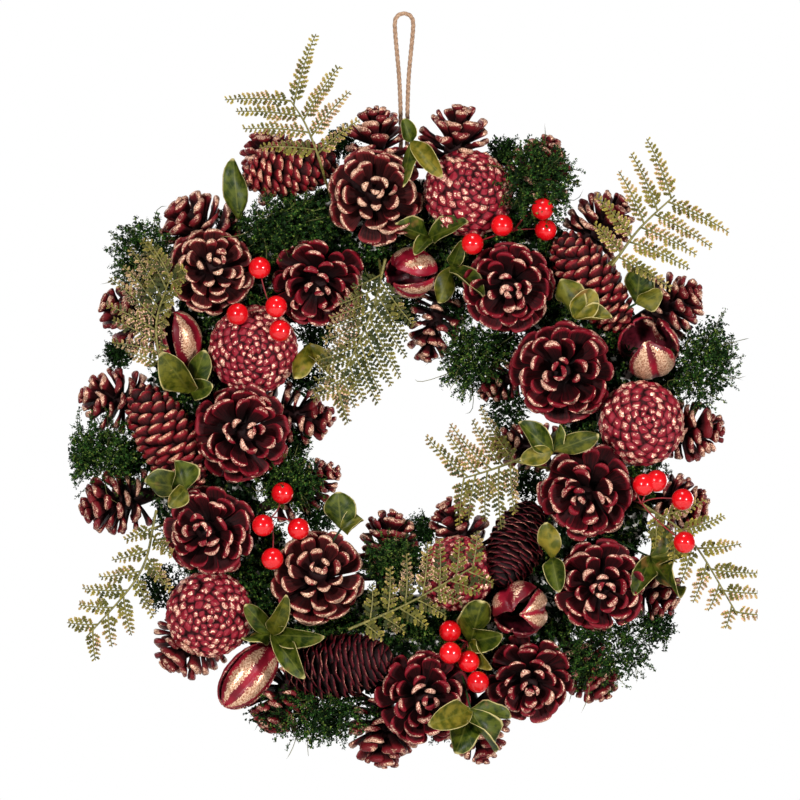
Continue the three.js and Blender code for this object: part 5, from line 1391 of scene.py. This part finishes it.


# In each: the colour of the painted shade at the root, the colour at the scale's end, the rim's painted
# highlight, the copper's dark and light colours, how far the copper reaches, and for some the size of its
# patches
open_paint = cone_paint(
    "open_cone_paint", (0.004, 0.0002, 0.0004), (0.076, 0.0014, 0.0045), (0.19, 0.004, 0.012),
    (0.35, 0.11, 0.072), (0.95, 0.60, 0.44), -0.15,
)
copper_paint = cone_paint(
    "copper_cone_paint", (0.008, 0.0008, 0.001), (0.085, 0.007, 0.007), (0.20, 0.015, 0.018),
    (0.34, 0.13, 0.08), (0.92, 0.60, 0.42), 0.04,
)
rim_paint = cone_paint(
    "rim_cone_paint", (0.008, 0.0007, 0.0010), (0.080, 0.0035, 0.006), (0.15, 0.008, 0.012),
    (0.30, 0.10, 0.055), (0.86, 0.54, 0.38), -0.12,
)
base_paint = cone_paint(
    "base_cone_paint", (0.018, 0.001, 0.0016), (0.235, 0.006, 0.019), (0.255, 0.009, 0.022),
    (0.43, 0.12, 0.088), (0.95, 0.60, 0.44), -0.05, 260.0,
)
long_paint = cone_paint(
    "long_cone_paint", (0.008, 0.0003, 0.0006), (0.18, 0.0025, 0.008), (0.21, 0.005, 0.011),
    (0.42, 0.11, 0.065), (0.93, 0.54, 0.36), -0.06, 320.0,
)
wine_paint = cone_paint(
    "wine_cone_paint", (0.002, 0.0002, 0.0003), (0.014, 0.0004, 0.0012), (0.085, 0.002, 0.007),
    (0.17, 0.034, 0.024), (0.48, 0.20, 0.15), -0.14,
)
pod_colour, leaf_colour, fern_colour = pod_paint(), leaf_paint(), fern_paint()
stalk_colour, moss_colour, twig_colour = stalk_paint(), moss_paint(), twig_paint()
berry_colour, wire_colour = berry_paint(), wire_paint()
jute_colour, foam_colour = jute_paint(), foam_paint()


# The camera and the cord come first
CAMERA_DISTANCE, VIEW_WIDTH, SENSOR = 2.5, 0.44, 36.0
AIM = Vector((-0.0022, 0.0, -0.2114))


def add_camera():
    data = bpy.data.cameras.new("camera")
    data.sensor_width = SENSOR
    data.lens = SENSOR * CAMERA_DISTANCE / VIEW_WIDTH
    camera = bpy.data.objects.new("camera", data)
    camera.location = AIM - Vector((0, CAMERA_DISTANCE, 0))
    camera.rotation_euler = (math.radians(90), 0, 0)
    bpy.context.scene.collection.objects.link(camera)
    bpy.context.scene.camera = camera


add_camera()
pile = Pile()
loop_length = jute_loop(pile)
loop = pile.piece("jute_loop", [jute_colour], "jute", "hanging_loop")
[tuple(p) for p in catmull(LOOP_ROUTE, 120)[0]]


# The object
def each(name, specs, paints, slot, make):
    """A piece for each spec, in the place of the node of that number. paints: its materials, by number."""
    for i, spec in enumerate(specs):
        pile = Pile()
        make(pile, spec, i)
        node = f"{name}_{i + 1:02d}"
        pile.piece(f"{node}_look", paints(i), slot, node)


def open_look(pile, lump, i):
    open_cone(pile, lump, OPEN_KIND, 100 + i)


def long_look(pile, lump, i):
    long_cone(pile, lump, THIN_KIND if i >= FIRST_THIN else STOUT_KIND, 200 + i)


def rim_look(pile, string, i):
    for k, lump in enumerate(string):
        open_cone(pile, lump, RIM_KIND, 500 + 20 * i + k)


pile = Pile()
foam_ring(pile)
pile.piece("foam_ring_look", [foam_colour], "foam", "foam_ring")

each("open_cone", open_lumps, lambda i: [copper_paint if i in COPPERY else open_paint], "open_cone",
     open_look)
each("long_cone", long_lumps, lambda i: [wine_paint if i >= FIRST_THIN else long_paint], "long_cone",
     long_look)
each("base_cone", base_lumps, lambda i: [base_paint], "base_cone",
     lambda pile, lump, i: knobbed_base(pile, lump, KNOB_SPIRALS[i], 300 + i))
each("seed_pod", pod_lumps, lambda i: [pod_colour], "pod",
     lambda pile, lump, i: seed_pod(pile, lump, POD_SHAPES[i], 400 + i))
each("rim_cones_outer", outer_lumps, lambda i: [rim_paint], "open_cone", rim_look)
each("rim_cones_inner", inner_lumps, lambda i: [rim_paint], "open_cone", rim_look)
each("berry_spray", BERRY_SPRAYS, lambda i: [berry_colour, wire_colour], "berry",
     lambda pile, spec, i: berry_spray(pile, *spec, 600 + i))
each("fern_frond", FERNS, lambda i: [fern_colour, stalk_colour], "fern",
     lambda pile, spec, i: fern(pile, spec, 700 + i))
each("leaf_garland", LEAF_GARLANDS, lambda i: [leaf_colour, twig_colour], "leaf",
     lambda pile, sprigs, i: garland(pile, sprigs, 800 + i))
each("green_spray", zip(spray_lumps, GREEN_SPRAYS), lambda i: [moss_colour, twig_colour], "moss",
     lambda pile, place, i: moss_spray(pile, place, 900 + i))
for name, fill, seed in (("moss_filler", moss_between, 990), ("moss_tuft_filler", moss_tufts, 991)):
    pile = Pile()
    fill(pile, seed)
    pile.piece(name, [moss_colour, twig_colour], "moss")


# Light and floor: for each soft light its place, size and power.
LIGHTS = {
    "key_left": ((-0.90, -1.95, 0.15), 0.16, 33),
    "key_right": ((1.25, -1.60, -0.15), 0.16, 27),
    "top": ((0.0, -0.6, 1.3), 0.4, 9),
    "back_left": ((-0.9, 1.1, 0.5), 0.8, 10),
    "back_right": ((0.9, 1.2, -0.3), 0.8, 8),
}
WORLD_LIGHT, WORLD_SEEN = 0.06, 1.0  # how bright the white around it lights, and how bright it is seen
FLOOR_RADIUS, FLOOR_HEIGHT, FLOOR_CORNERS = 1.4, -0.62, 96


def studio():
    for name, (place, size, power) in LIGHTS.items():
        data = bpy.data.lights.new(name, "AREA")
        data.size, data.energy = size, power
        light = bpy.data.objects.new(name, data)
        light.location = place
        light.rotation_euler = (Vector((0, 0, -DROP)) - Vector(place)).to_track_quat("-Z", "Y").to_euler()
        bpy.context.scene.collection.objects.link(light)
    world = bpy.data.worlds.new("world")
    world.use_nodes = True
    nodes, links = world.node_tree.nodes, world.node_tree.links
    shade = nodes["Background"]
    shade.inputs["Color"].default_value = (1, 1, 1, 1)
    seen = nodes.new("ShaderNodeLightPath").outputs["Is Camera Ray"]
    strength = nodes.new("ShaderNodeMapRange")
    strength.inputs["To Min"].default_value = WORLD_LIGHT
    strength.inputs["To Max"].default_value = WORLD_SEEN
    links.new(seen, strength.inputs["Value"])
    links.new(strength.outputs[0], shade.inputs["Strength"])
    bpy.context.scene.world = world
    bpy.context.scene.view_settings.view_transform = "Standard"


def floor():
    angle = 2 * np.pi * np.arange(FLOOR_CORNERS) / FLOOR_CORNERS
    points = [(FLOOR_RADIUS * math.cos(t), FLOOR_RADIUS * math.sin(t), FLOOR_HEIGHT) for t in angle]
    mesh = bpy.data.meshes.new("floor")
    mesh.from_pydata(points, [], [list(range(FLOOR_CORNERS))])
    s = Shader("floor_paint")
    soft = s.noise(6.0, 2.0)
    colour = s.mix(soft, (0.80, 0.79, 0.77), (0.84, 0.83, 0.81))
    mesh.materials.append(s.finish(Base_Color=colour, Roughness=s.ease(soft, 0, 1, 0.7, 0.8)))
    made = bpy.data.objects.new("floor", mesh)
    bpy.context.scene.collection.objects.link(made)


studio()
floor()
